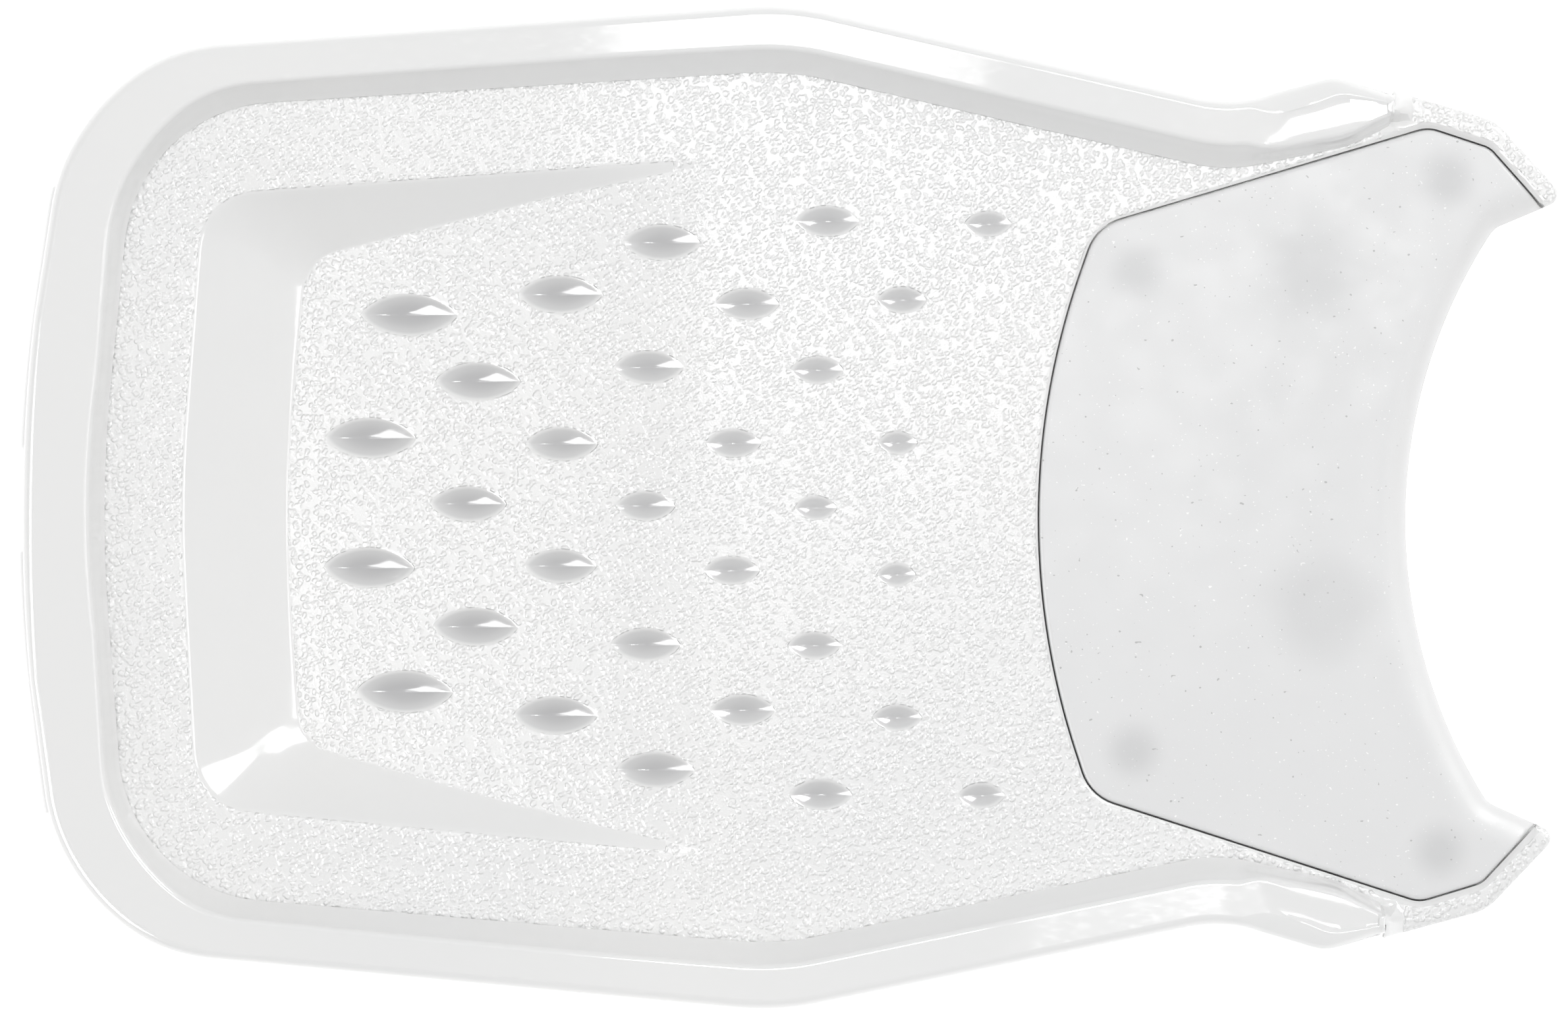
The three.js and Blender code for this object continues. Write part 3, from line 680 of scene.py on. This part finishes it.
def path_pair(step=1.1):
    """The rim's outer and inner edge lines as matched points, from the +Y horn round to the -Y horn."""
    def both(half):
        return half + [(x, -y, r) for x, y, r in reversed(half[:-1])]

    outer, inner = both(RIM_OUTER), both(RIM_INNER)
    n = len(outer)
    parts = [[], []]
    for i in range(n):
        if i in (0, n - 1):
            arcs = [np.array([outer[i][:2]]), np.array([inner[i][:2]])]
        else:
            count = max(6, int(arc_length(*outer[i - 1:i + 2]) / step))
            arcs = [arc(*side[i - 1:i + 2], count) for side in (outer, inner)]
        for side in (0, 1):
            parts[side].append(arcs[side])
    result = [[], []]
    for i in range(n):
        span = 0
        if i < n - 1:
            span = np.linalg.norm(parts[0][i + 1][0] - parts[0][i][-1])
        pieces = max(1, int(span / step))
        for side in (0, 1):
            result[side].extend(parts[side][i])
            if i < n - 1:
                a, b = parts[side][i][-1], parts[side][i + 1][0]
                result[side].extend(a + (b - a) * k / pieces for k in range(1, pieces))
    return np.array(result[0]), np.array(result[1])


def rim_ring(a, b, pull=0.0, solid=False):
    """One section of the rim between an outer point a and an inner point b, drawn in by pull all round."""
    width = np.linalg.norm(b - a)
    across = (b - a) / width
    ring = []
    for d, h in rim_section(width, solid, a[0]):
        d = min(max(d, pull), width - pull * 0.8)
        h = min(h, -pull)
        at = a + across * d
        z = rim_top(at[0]) + h
        low = deck(at[0], at[1]) + h + RIM_OVER_DECK
        share = float(smooth(-h, 1.0, RIM_OVER_DECK - GAP)) if d > 5.0 else 0.0
        z += (low - z) * share
        if h > -3 and not solid:
            z += bank(at[0], at[1])
        ring.append((at[0], at[1], z))
    return np.array(ring)


def build_rim():
    outer, inner = path_pair()
    n = len(outer)
    rings = [rim_ring(outer[i], inner[i], solid=min(i, n - 1 - i) < 2) for i in range(n)]
    for at, step in ((0, 1), (n - 1, -1)):
        a, b = outer[at], inner[at]
        into = np.array([math.copysign(1, outer[at + step][0] - a[0]), 0.0])
        caps = []
        for angle in np.linspace(math.pi / 2, 0, 5):
            back = END_ROUND * (1 - math.sin(angle))
            pull = END_ROUND * (1 - math.cos(angle))
            caps.append(rim_ring(a + into * back, b + into * back, pull, True))
        rings = caps + rings[1:] if step == 1 else rings[:-1] + caps[::-1]
    shape = Shape()
    loft(shape, [r[::-1] for r in rings], closed_ends=True)
    return shape


# ---------- Lower shell ----------
# Insets are one distance for each edge of PAN, in its order.

FLOOR_INSET = [14, 14, 12, 12, 12, 10, 10, 10, 6, 3.5, 3.5]
BULGE_INSET = [8, 8, 7, 7, 7, 6, 6, 6, 3, 2, 2]
TONGUE_INSET = [3.6, 3.6, 3.6, 5.2, 5.2, 3.6, 3.6, 3.6, 9, 9, 9]
EDGES = len(PAN) - 1
SEAM_INSET = [0.8] * EDGES
BULGE_HEIGHT = 5.0


def pan_ring(insets):
    """The pan's outline with each edge moved in by its own distance, always as the same number of points."""
    corners = mirrored(PAN)
    moved = inset(corners, list(insets) + list(insets)[::-1])
    n = len(moved)
    points = []
    for i in range(n):
        before, after = moved[i - 1], moved[(i + 1) % n]
        fillet = corners[i][2]
        count = 12 if fillet > 30 else 8 if fillet else 0
        part = arc(before, moved[i], after, count)
        if len(part) < count + 1:
            part = np.repeat(part, count + 1, 0)
        points.append(part)
    ring = []
    for i in range(n):
        ring.extend(points[i])
        a, b = points[i][-1], points[(i + 1) % n][0]
        span = np.linalg.norm(np.array(corners[(i + 1) % n][:2]) - np.array(corners[i][:2]))
        pieces = max(1, int(span / 6))
        ring.extend(a + (b - a) * k / pieces for k in range(1, pieces))
    return np.array(ring)


def seam(p):
    x, y = p[:, 0], p[:, 1]
    under_rim = rim_top(x) - RIM_SKIRT - 0.6
    under_wing = deck(x, y) - WING_SKIRT - 1.2
    over_notch = (x > 100) & (np.abs(y) < 98)
    past = smooth(x, RIM_END_X - 1.9, RIM_END_X - 0.7)
    return under_rim + (under_wing - under_rim) * np.where(over_notch, 1.0, past)


def tray_underside(p):
    x, y = p[:, 0], p[:, 1]
    thick = DECK_THICK + (PAD_HIDDEN + WALL - DECK_THICK) * smooth(x, 35, 60)
    return deck(x, y) - thick


def blend_insets(a, b, t):
    return [p + (q - p) * t for p, q in zip(a, b)]


def shell_sides():
    """Rings from the inside of the floor over the tongue, the seam and the bulge to the floor's edge."""
    rings = []
    bulge_z = FLOOR_Z + BULGE_HEIGHT
    inner_tongue = [d + 3 for d in TONGUE_INSET]

    def ring(insets, height):
        p = pan_ring(insets)
        z = height(p) if callable(height) else np.full(len(p), float(height))
        rings.append(np.column_stack([p, z]))

    def outside(t):
        return lambda p: seam(p) - 0.6 + (bulge_z - seam(p) + 0.6) * t

    ring(FLOOR_INSET, FLOOR_Z + WALL)
    ring([d + WALL for d in BULGE_INSET], bulge_z + WALL)
    ring(inner_tongue, lambda p: seam(p) - 3)
    ring(inner_tongue, lambda p: tray_underside(p) - 3.2)
    ring(TONGUE_INSET, lambda p: tray_underside(p) - 3.2)
    ring(TONGUE_INSET, seam)
    ring([1.5] * EDGES, seam)
    ring([1.0] * EDGES, lambda p: seam(p) - 0.15)
    ring(SEAM_INSET, outside(0))
    for t in (0.15, 0.3, 0.45, 0.6, 0.75, 0.9, 1.0):
        ring(blend_insets(SEAM_INSET, BULGE_INSET, t**1.6), outside(t))
    for t in (0.2, 0.4, 0.6, 0.8, 0.93, 1.0):
        angle = t * math.pi / 2
        insets = blend_insets(BULGE_INSET, FLOOR_INSET, 1 - math.cos(angle))
        ring(insets, bulge_z - BULGE_HEIGHT * math.sin(angle))
    return rings


def add_shell_floor(shape):
    """The floor with a raised panel and round pockets for the feet and the screw heads."""
    border = pan_ring(FLOOR_INSET)
    places = [(*m, FOOT_RADIUS + GAP, 56) for m in middles(FEET)]
    places += [(*m, SCREW_POCKET_RADIUS, 32) for m in middles(SCREWS)]
    pockets = [circle(*place) for place in places]
    panel = offset(border, 16.0)
    frames = [offset(panel, d) if d else panel for d in (-1.0, -0.5, 0, 0.5, 1.0)]
    between = clear_of(grid((-180, -115), (180, 115), 5.0), [(border, True), (panel, True)], 2.5)
    between = between[distance(between, border) < 0]
    extra = np.vstack(frames + [between])
    for x, y, r, _ in places:
        extra = extra[np.abs(np.hypot(extra[:, 0] - x, extra[:, 1] - y) - r) > 0.8]
    flat, triangles = triangulate([border, *pockets], extra, lambda c: distance(c, border) < 0)
    centres = flat[triangles].mean(1)
    in_pocket = np.zeros(len(triangles), bool)
    for pocket in pockets:
        in_pocket |= distance(centres, pocket) < 0
    panel_z = FLOOR_Z + 0.9 * smooth(-distance(flat, panel), -0.8, 0.8)
    pocket_z = np.full(len(flat), FLOOR_Z + 1.6 + GAP)
    inside_z = np.full(len(flat), FLOOR_Z + WALL)
    slab(shape, flat, triangles, [panel_z, pocket_z], inside_z, in_pocket.astype(int), flip=True, walls=False,
         grain=1.0)


def build_base():
    shape = Shape()
    loft(shape, shell_sides(), grain=1.0)
    add_shell_floor(shape)
    return shape


# ---------- Pad ----------

# Centres and radii of two broad darker patches on the pad, painted dark reflections.
PAD_DARK_REFLECTION_SPOTS = [(128.5, 60, 19), (131.8, -23, 19)]
STUD_HEAD_POCKET = 6.85


def order_open(points):
    """Points of an open path in the order of their angle round the pad's notch side."""
    angle = np.arctan2(points[:, 1], 175 - points[:, 0])
    return points[np.argsort(angle)]


def build_pad():
    outline = loop(pad_outline(-PAD_SEAM))
    full = loop(mirrored(PAD))
    notch = full[(full[:, 0] > 150) & (np.abs(full[:, 1]) < 76.2) & (distance(full, outline) > -0.3)]
    notch = notch[np.argsort(notch[:, 1])]
    notch = notch[notch[:, 0] < 186.2]
    sides = order_open(outline[np.abs(distance(outline, notch, False)) > 0.8])
    rings = [offset(outline, d) for d in (0.15, 0.4, 0.8, 1.3, 2.0, 2.8, 3.7, 4.7, 4.95, 5.8, 7.0, 8.4, 9.8)]
    for sx, sy in middles(STUDS):
        rings.append(circle(sx, sy, STUD_HEAD_POCKET - 0.05, 40))
        rings.append(circle(sx, sy, STUD_HEAD_POCKET + 0.05, 40))
    inner = clear_of(grid((50, -100), (190, 100), 2.0), [(outline, True)], 1.2)
    inner = inner[distance(inner, outline) < -1.0]
    flat, triangles = triangulate([outline], np.vstack(rings + [inner]), lambda c: distance(c, outline) < 0)
    x, y = flat.T
    level = deck(x, y)
    from_notch = np.abs(distance(flat, notch, False))
    from_side = np.abs(distance(flat, sides, False))
    t = np.clip(1 - from_notch / ROLL_WIDE, 0, 1)
    roll = ROLL_DEEP * (1 - np.sqrt(1 - np.minimum(t, 0.985) ** 2.0))
    top = level - roll - edge_drop(from_side, 0.9) - 0.12
    bottom = level - PAD_THICK
    for sx, sy in middles(STUDS):
        bottom = np.where(np.hypot(x - sx, y - sy) < STUD_HEAD_POCKET, level - 1.45, bottom)
    bottom = np.where(from_notch < LIP_THICK, level - PAD_LIP, bottom)
    bottom = np.minimum(bottom, top - 1.2)
    # Painted shade: darker discs round the studs, standing in for the studs' shadow seen through the pad.
    under = np.zeros(len(flat))
    for sx, sy in middles(STUDS):
        under = np.maximum(under, 1 - smooth(np.hypot(x - sx, y - sy), 1.5, 9.5))
    # Painted reflection: two broad darker patches, standing in for dark reflections on the pad.
    broad = np.zeros(len(flat))
    for sx, sy, r in PAD_DARK_REFLECTION_SPOTS:
        broad = np.maximum(broad, 1 - smooth(np.hypot(x - sx, y - sy), r * 0.25, r))
    shape = Shape()
    # In the call below, lip lightens the colour towards the rolled edge, a painted highlight.
    slab(shape, flat, triangles, [top], bottom, np.zeros(len(triangles), int), under=under, broad=broad,
         lip=1 - smooth(from_notch, 0.5, ROLL_WIDE))
    return shape


# ---------- Small pieces ----------


def build_stud(node):
    low, high = cad_low(node), cad_high(node)
    x, y = cad_middle(node)[:2]
    z0, z1 = low[2], high[2]
    head = 6.5
    profile = [(0, z0), (1.6, z0), (2.1, z0 + 0.15), (2.6, z0 + 0.7), (3.9, z0 + 2.3), (3.95, z0 + 2.7),
               (3.9, z0 + 3.3), (3.5, z0 + 3.8), (3.05, z0 + 4.5), (3.1, z0 + 5.2), (3.55, z0 + 6.4),
               (3.6, z1 - 2.3), (3.9, z1 - 2.0), (head - 0.4, z1 - 2.0), (head, z1 - 1.6), (head, z1 - 0.4),
               (head - 0.4, z1), (4.4, z1), (4.1, z1 - 0.3), (2.9, z1 - 0.3), (2.6, z1), (0, z1)]
    shape = Shape()
    turned(shape, profile, x, y)
    return shape


def build_foot(node):
    x, y = cad_middle(node)[:2]
    top = cad_high(node)[2]
    profile = [(0, 0.55), (2.2, 0.55), (2.5, 0.3), (2.8, 0.0), (3.6, 0.0), (3.9, 0.3), (4.2, 0.55),
               (4.9, 0.55), (5.2, 0.3), (5.5, 0), (6.9, 0), (7.6, 0.15), (8.3, 0.55), (8.75, 1.15), (8.98, 1.9),
               (9.0, 2.6), (9.0, top - 0.3), (8.7, top), (0, top)]
    shape = Shape()
    turned(shape, profile, x, y, sides=64)
    return shape


def build_screw(node):
    """A pan-head screw with a hexagon socket, its head down."""
    x, y = cad_middle(node)[:2]
    low, high = cad_low(node)[2], cad_high(node)[2]
    sides = 48
    angles = np.linspace(0, 2 * math.pi, sides, endpoint=False)
    hexagon = 1.7 * math.cos(math.pi / 6) / np.cos((angles + math.pi / 6) % (math.pi / 3) - math.pi / 6)
    profile = [(0.55, high), (1.2, high - 0.9), (1.75, high - 1.8)]
    z = high - 1.8
    while z > low + 3.4:
        profile += [(1.9, z - 0.25), (1.9, z - 0.4), (1.55, z - 0.75), (1.55, z - 0.9)]
        z -= 1.0
    profile += [(1.9, low + 2.2), (3.6, low + 2.2), (3.8, low + 2.0), (3.8, low + 1.1), (3.6, low + 0.5),
                (3.1, low + 0.12), (2.6, low)]
    rings = [np.column_stack([x + r * np.cos(angles), y + r * np.sin(angles), np.full(sides, h)])
             for r, h in profile]
    for h in (low, low + 0.1, low + 1.4):
        r = hexagon + (0.15 if h == low else 0)
        rings.append(np.column_stack([x + r * np.cos(angles), y + r * np.sin(angles), np.full(sides, h)]))
    shape = Shape()
    loft(shape, rings, closed_ends=True)
    return shape


def build_seal():
    """A round rubber cord in the joint between the shell and the tray."""
    path = pan_ring([d + 1.5 for d in TONGUE_INSET])
    z = tray_underside(path) - 1.8
    along = np.roll(path, -1, 0) - np.roll(path, 1, 0)
    along /= np.maximum(np.linalg.norm(along, axis=1), 1e-9)[:, None]
    out = np.stack([along[:, 1], -along[:, 0]], 1)
    rings = []
    for a in np.linspace(0, 2 * math.pi, 12, endpoint=False):
        side = 0.98 * math.cos(a)
        rings.append(np.column_stack([path + out * side, z + 0.98 * math.sin(a)]))
    shape = Shape()
    loft(shape, rings + rings[:1])
    return shape


# ---------- Materials ----------


class Nodes:
    """A material's node tree with short calls for adding and joining nodes."""

    def __init__(self, name, color, roughness):
        self.material = bpy.data.materials.new(name)
        self.material.use_nodes = True
        self.tree = self.material.node_tree
        self.shader = self.tree.nodes["Principled BSDF"]
        self.shader.inputs["Base Color"].default_value = (*color, 1)
        self.shader.inputs["Roughness"].default_value = roughness
        self.place = self.add("ShaderNodeTexCoord").outputs["Object"]

    def add(self, kind, inputs=None, **settings):
        node = self.tree.nodes.new(kind)
        for key, value in settings.items():
            setattr(node, key, value)
        for key, value in (inputs or {}).items():
            if isinstance(value, bpy.types.NodeSocket):
                self.tree.links.new(value, node.inputs[key])
            else:
                node.inputs[key].default_value = value
        return node

    def join(self, output, key):
        self.tree.links.new(output, self.shader.inputs[key])

    def noise(self, scale, detail=2.0, rough=0.5, vector=None):
        inputs = {"Vector": vector or self.place, "Scale": scale, "Detail": detail, "Roughness": rough}
        node = self.add("ShaderNodeTexNoise", inputs)
        return node.outputs["Fac"]

    def math(self, operation, a, b=0.0, c=0.0, clamp=False):
        node = self.add("ShaderNodeMath", {0: a, 1: b, 2: c}, operation=operation, use_clamp=clamp)
        return node.outputs[0]

    def ramp(self, value, low, high, out_low=0.0, out_high=1.0):
        node = self.add("ShaderNodeMapRange", {"Value": value, "From Min": low, "From Max": high,
                                               "To Min": out_low, "To Max": out_high},
                        interpolation_type="SMOOTHSTEP")
        return node.outputs["Result"]

    def mix(self, factor, a, b):
        node = self.add("ShaderNodeMix", data_type="RGBA")
        for socket, value in ((node.inputs["Factor"], factor), (node.inputs[6], a), (node.inputs[7], b)):
            if isinstance(value, bpy.types.NodeSocket):
                self.tree.links.new(value, socket)
            else:
                socket.default_value = (*value, 1)
        return node.outputs[2]

    def attribute(self, name):
        return self.add("ShaderNodeAttribute", attribute_name=name).outputs["Fac"]

    def bump(self, height, distance_mm, strength=1.0, normal=None):
        inputs = {"Height": height, "Distance": distance_mm * MM, "Strength": strength}
        if normal:
            inputs["Normal"] = normal
        return self.add("ShaderNodeBump", inputs).outputs["Normal"]


def pebbles(n, cell_mm):
    """Height of a moulded leather grain: rounded pebbles with narrow valleys between them."""
    wobble = n.add("ShaderNodeTexNoise", {"Vector": n.place, "Scale": 620.0, "Detail": 1.0})
    middle = (0.5, 0.5, 0.5)
    moved = n.add("ShaderNodeVectorMath", {0: wobble.outputs["Color"], 1: middle}, operation="SUBTRACT")
    moved = n.add("ShaderNodeVectorMath", {0: moved.outputs[0], "Scale": 0.0011}, operation="SCALE")
    moved = n.add("ShaderNodeVectorMath", {0: n.place, 1: moved.outputs[0]}, operation="ADD")
    cells = n.add("ShaderNodeTexVoronoi", {"Vector": moved.outputs[0], "Scale": 1000.0 / cell_mm,
                                           "Smoothness": 0.35}, feature="SMOOTH_F1")
    dome = n.ramp(cells.outputs["Distance"], 0.2, 0.66, 1.0, 0.0)
    fine = n.noise(2300.0, 2.0)
    return n.math("MULTIPLY_ADD", fine, 0.22, dome)


def grained_plastic():
    n = Nodes("grained_white_plastic", (0.8, 0.8, 0.795), 0.36)
    grain = n.ramp(n.attribute("grain"), -0.1, 0.35)
    height = n.math("MULTIPLY", pebbles(n, 1.4), grain)
    flow = n.noise(22.0, 2.0)
    waves = n.bump(flow, 0.05, 0.5)
    n.join(n.bump(height, 0.27, 1.0, waves), "Normal")
    patchy = n.noise(60.0, 3.0)
    rough = n.ramp(patchy, 0.3, 0.7, 0.24, 0.31)
    smooth_rough = n.ramp(patchy, 0.3, 0.7, 0.1, 0.16)
    mix = n.add("ShaderNodeMix", {"Factor": grain, "A": smooth_rough, "B": rough}, data_type="FLOAT")
    n.join(mix.outputs[0], "Roughness")
    # Painted shade: the dents' colour turns grey with their depth, standing in for the shade inside the
    # hollows.
    depth = n.attribute("thin")
    first = n.ramp(depth, 0.05, 0.9, 0.0, 0.5)
    thin = n.math("ADD", first, n.ramp(depth, 0.5, 3.2, 0.0, 0.5), clamp=True)
    tint = n.mix(n.ramp(n.noise(9.0, 2.0), 0.35, 0.65), (0.80, 0.80, 0.795), (0.785, 0.787, 0.785))
    n.join(n.mix(thin, tint, (0.5, 0.5, 0.505)), "Base Color")
    n.shader.inputs["Specular IOR Level"].default_value = 0.5
    return n.material


def gloss_plastic():
    n = Nodes("gloss_white_plastic", (0.8, 0.8, 0.795), 0.14)
    orange_peel = n.bump(n.noise(330.0, 1.0), 0.012, 0.4)
    n.join(n.bump(n.noise(28.0, 2.0), 0.06, 0.5, orange_peel), "Normal")
    stretched = n.add("ShaderNodeMapping", {"Vector": n.place, "Scale": (0.35, 1.0, 1.0),
                                            "Rotation": (0, 0, 0.5)})
    scuffs = n.noise(900.0, 4.0, 0.65, stretched.outputs[0])
    n.join(n.ramp(scuffs, 0.45, 0.8, 0.12, 0.24), "Roughness")
    clouds = n.ramp(n.noise(7.0, 2.0), 0.35, 0.65)
    n.join(n.mix(clouds, (0.805, 0.805, 0.8), (0.79, 0.792, 0.79)), "Base Color")
    n.shader.inputs["Coat Weight"].default_value = 0.06
    n.shader.inputs["Coat Roughness"].default_value = 0.06
    return n.material


def shell_plastic():
    n = Nodes("satin_white_plastic", (0.8, 0.8, 0.795), 0.3)
    spark = n.noise(1500.0, 3.0)
    n.join(n.bump(spark, 0.02, 0.6, n.bump(n.noise(20.0, 2.0), 0.08, 0.5)), "Normal")
    n.join(n.ramp(n.noise(45.0, 4.0), 0.3, 0.75, 0.26, 0.4), "Roughness")
    clouds = n.ramp(n.noise(6.0, 2.0), 0.35, 0.65)
    n.join(n.mix(clouds, (0.80, 0.80, 0.795), (0.782, 0.784, 0.78)), "Base Color")
    return n.material


def soft_elastomer():
    n = Nodes("milky_elastomer", (0.7, 0.702, 0.705), 0.5)
    fine = n.noise(2600.0, 2.0)
    mould = n.noise(950.0, 3.0, 0.6)
    n.join(n.bump(fine, 0.018, 0.6, n.bump(mould, 0.02, 0.5)), "Normal")
    clouds = n.mix(n.ramp(n.noise(14.0, 3.0), 0.3, 0.7), (0.71, 0.712, 0.714), (0.685, 0.687, 0.69))
    fleck = n.ramp(n.noise(1500.0, 0.0), 0.78, 0.84)
    pale = n.mix(fleck, clouds, (0.86, 0.86, 0.86))
    other = n.add("ShaderNodeMapping", {"Vector": n.place, "Location": (0.31, 0.17, 0.0)})
    speck = n.ramp(n.noise(1100.0, 0.0, 0.5, other.outputs[0]), 0.81, 0.86)
    specked = n.mix(speck, pale, (0.45, 0.45, 0.45))
    # Painted shade: the pad darkens round each stud, standing in for the stud's shadow seen through it.
    stud_painted_shadow = n.math("MULTIPLY", n.attribute("under"), 0.42)
    shaded = n.mix(stud_painted_shadow, specked, (0.42, 0.424, 0.43))
    # Painted reflection: two broad darker patches on the pad.
    painted_reflection_shade = n.math("MULTIPLY", n.attribute("broad"), 0.34)
    spotted = n.mix(painted_reflection_shade, shaded, (0.45, 0.454, 0.46))
    # Painted highlight: the colour lightens towards the rolled edge along the notch, standing in for the light
    # that the roll catches.
    n.join(n.mix(n.attribute("lip"), spotted, (0.72, 0.72, 0.72)), "Base Color")
    n.join(n.ramp(n.noise(110.0, 3.0), 0.3, 0.7, 0.42, 0.55), "Roughness")
    n.shader.inputs["Subsurface Weight"].default_value = 0.12
    n.shader.inputs["Subsurface Radius"].default_value = (1.0, 1.0, 1.0)
    n.shader.inputs["Subsurface Scale"].default_value = 0.003
    n.shader.inputs["Sheen Weight"].default_value = 0.08
    return n.material


def stud_nylon():
    n = Nodes("natural_nylon", (0.6, 0.6, 0.58), 0.42)
    n.join(n.bump(n.noise(1400.0, 3.0), 0.015, 0.6), "Normal")
    n.join(n.mix(n.ramp(n.noise(160.0, 2.0), 0.3, 0.7), (0.61, 0.61, 0.59), (0.55, 0.55, 0.54)), "Base Color")
    return n.material


def grey_rubber():
    n = Nodes("grey_rubber", (0.3, 0.31, 0.32), 0.75)
    n.join(n.bump(n.noise(1800.0, 4.0, 0.6), 0.03, 0.7), "Normal")
    n.join(n.mix(n.ramp(n.noise(240.0, 3.0), 0.3, 0.7), (0.31, 0.32, 0.33), (0.24, 0.25, 0.26)), "Base Color")
    n.join(n.ramp(n.noise(80.0, 3.0), 0.3, 0.7, 0.68, 0.85), "Roughness")
    return n.material


def stainless():
    n = Nodes("stainless_steel", (0.6, 0.61, 0.62), 0.26)
    n.shader.inputs["Metallic"].default_value = 1.0
    brushed = n.add("ShaderNodeMapping", {"Vector": n.place, "Scale": (1.0, 1.0, 9.0)})
    lines = n.noise(1600.0, 3.0, 0.6, brushed.outputs[0])
    n.join(n.bump(lines, 0.006, 0.6), "Normal")
    n.join(n.ramp(lines, 0.3, 0.7, 0.2, 0.34), "Roughness")
    return n.material


# ---------- Assembly ----------


def build_object():
    grained = grained_plastic()
    gloss = gloss_plastic()
    shell = shell_plastic()
    soft = soft_elastomer()
    nylon = stud_nylon()
    rubber = grey_rubber()
    steel = stainless()
    make_object("tray_moulding", build_tray(), grained, "pan", ["tray"])
    make_object("rim_moulding", build_rim(), gloss, "pan", ["rim"])
    make_object("lower_shell", build_base(), shell, "pan", ["base_shell"])
    make_object("seal_cord", build_seal(), rubber, "pan", ["seam_seal"], sharp=60)
    make_object("soft_pad", build_pad(), soft, "pad", ["back_pad"])
    for node in STUDS:
        make_object(node.replace("pad_stud", "stud"), build_stud(node), nylon, "pad", [node])
    for node in FEET:
        make_object(node.replace("foot", "rubber_foot"), build_foot(node), rubber, "pan", [node])
    for node in SCREWS:
        make_object(node.replace("base_screw", "screw"), build_screw(node), steel, "pan", [node])


# ---------- Table, lights and camera ----------

CAMERA_HIGH = 2.4
CAMERA_CENTRE = (-0.0008, -0.0005)
FRAME_WIDE = 0.3848
CAMERA_ROLL = 0.65
TABLE_HALF = 6.0
TABLE_Z = -0.0003
AIM = Vector((0, 0, 0.05))


def make_table():
    material = bpy.data.materials.new("white_table")
    material.use_nodes = True
    shader = material.node_tree.nodes["Principled BSDF"]
    shader.inputs["Base Color"].default_value = (0.5, 0.5, 0.5, 1)
    shader.inputs["Roughness"].default_value = 0.9
    shader.inputs["Emission Color"].default_value = (1, 1, 1, 1)
    shader.inputs["Emission Strength"].default_value = 1.03
    mesh = bpy.data.meshes.new("table")
    corners = [(sx * TABLE_HALF, sy * TABLE_HALF, TABLE_Z) for sx, sy in ((-1, -1), (1, -1), (1, 1), (-1, 1))]
    mesh.from_pydata(corners, [], [(0, 1, 2, 3)])
    mesh.materials.append(material)
    table = bpy.data.objects.new("table", mesh)
    bpy.context.scene.collection.objects.link(table)


# Small panels that show in the gloss without adding to the light on matt surfaces.
REFLECTORS = [
    ("panel_right", (1.5, 0.0, 1.7), (0.8, 0.35), 8.0),
    ("panel_left", (-1.62, -0.94, 1.2), (1.7, 1.3), 14.0),
    ("panel_left_strip", (-1.26, 0.0, 1.8), (0.25, 1.0), 13.0),
    ("panel_low_back", (1.72, 1.31, 1.1), (1.3, 0.7), 26.0),
]


def softbox(name, place, size, radiance):
    """A rectangular light at a place, in metres, that faces the object."""
    light = bpy.data.lights.new(name, "AREA")
    light.shape = "RECTANGLE"
    light.size, light.size_y = size
    light.energy = radiance * math.pi * size[0] * size[1]
    made = bpy.data.objects.new(name, light)
    made.location = place
    made.rotation_mode = "QUATERNION"
    made.rotation_quaternion = (Vector(place) - AIM).to_track_quat("Z", "Y")
    bpy.context.scene.collection.objects.link(made)
    return made


def make_lights():
    world = bpy.data.worlds.new("soft_room")
    world.use_nodes = True
    background = world.node_tree.nodes["Background"]
    background.inputs["Color"].default_value = (1, 1, 1, 1)
    background.inputs["Strength"].default_value = 0.65
    bpy.context.scene.world = world
    softbox("softbox_top", (0.458, 0.447, 2.65), (0.458, 0.67), 30.0)
    for name, place, size, radiance in REFLECTORS:
        softbox(name, place, size, radiance).visible_diffuse = False


def make_camera():
    data = bpy.data.cameras.new("overhead")
    data.sensor_width = 36.0
    camera = bpy.data.objects.new("overhead", data)
    subject = (RIM_HIGH - RIM_OVER_DECK) * MM
    data.lens = data.sensor_width * CAMERA_HIGH / FRAME_WIDE
    camera.location = (*CAMERA_CENTRE, subject + CAMERA_HIGH)
    camera.rotation_euler = (0, 0, math.radians(CAMERA_ROLL))
    data.clip_end = 20
    bpy.context.scene.collection.objects.link(camera)
    bpy.context.scene.camera = camera


make_camera()
make_lights()
make_table()
build_object()
bpy.context.scene.view_settings.view_transform = "Standard"
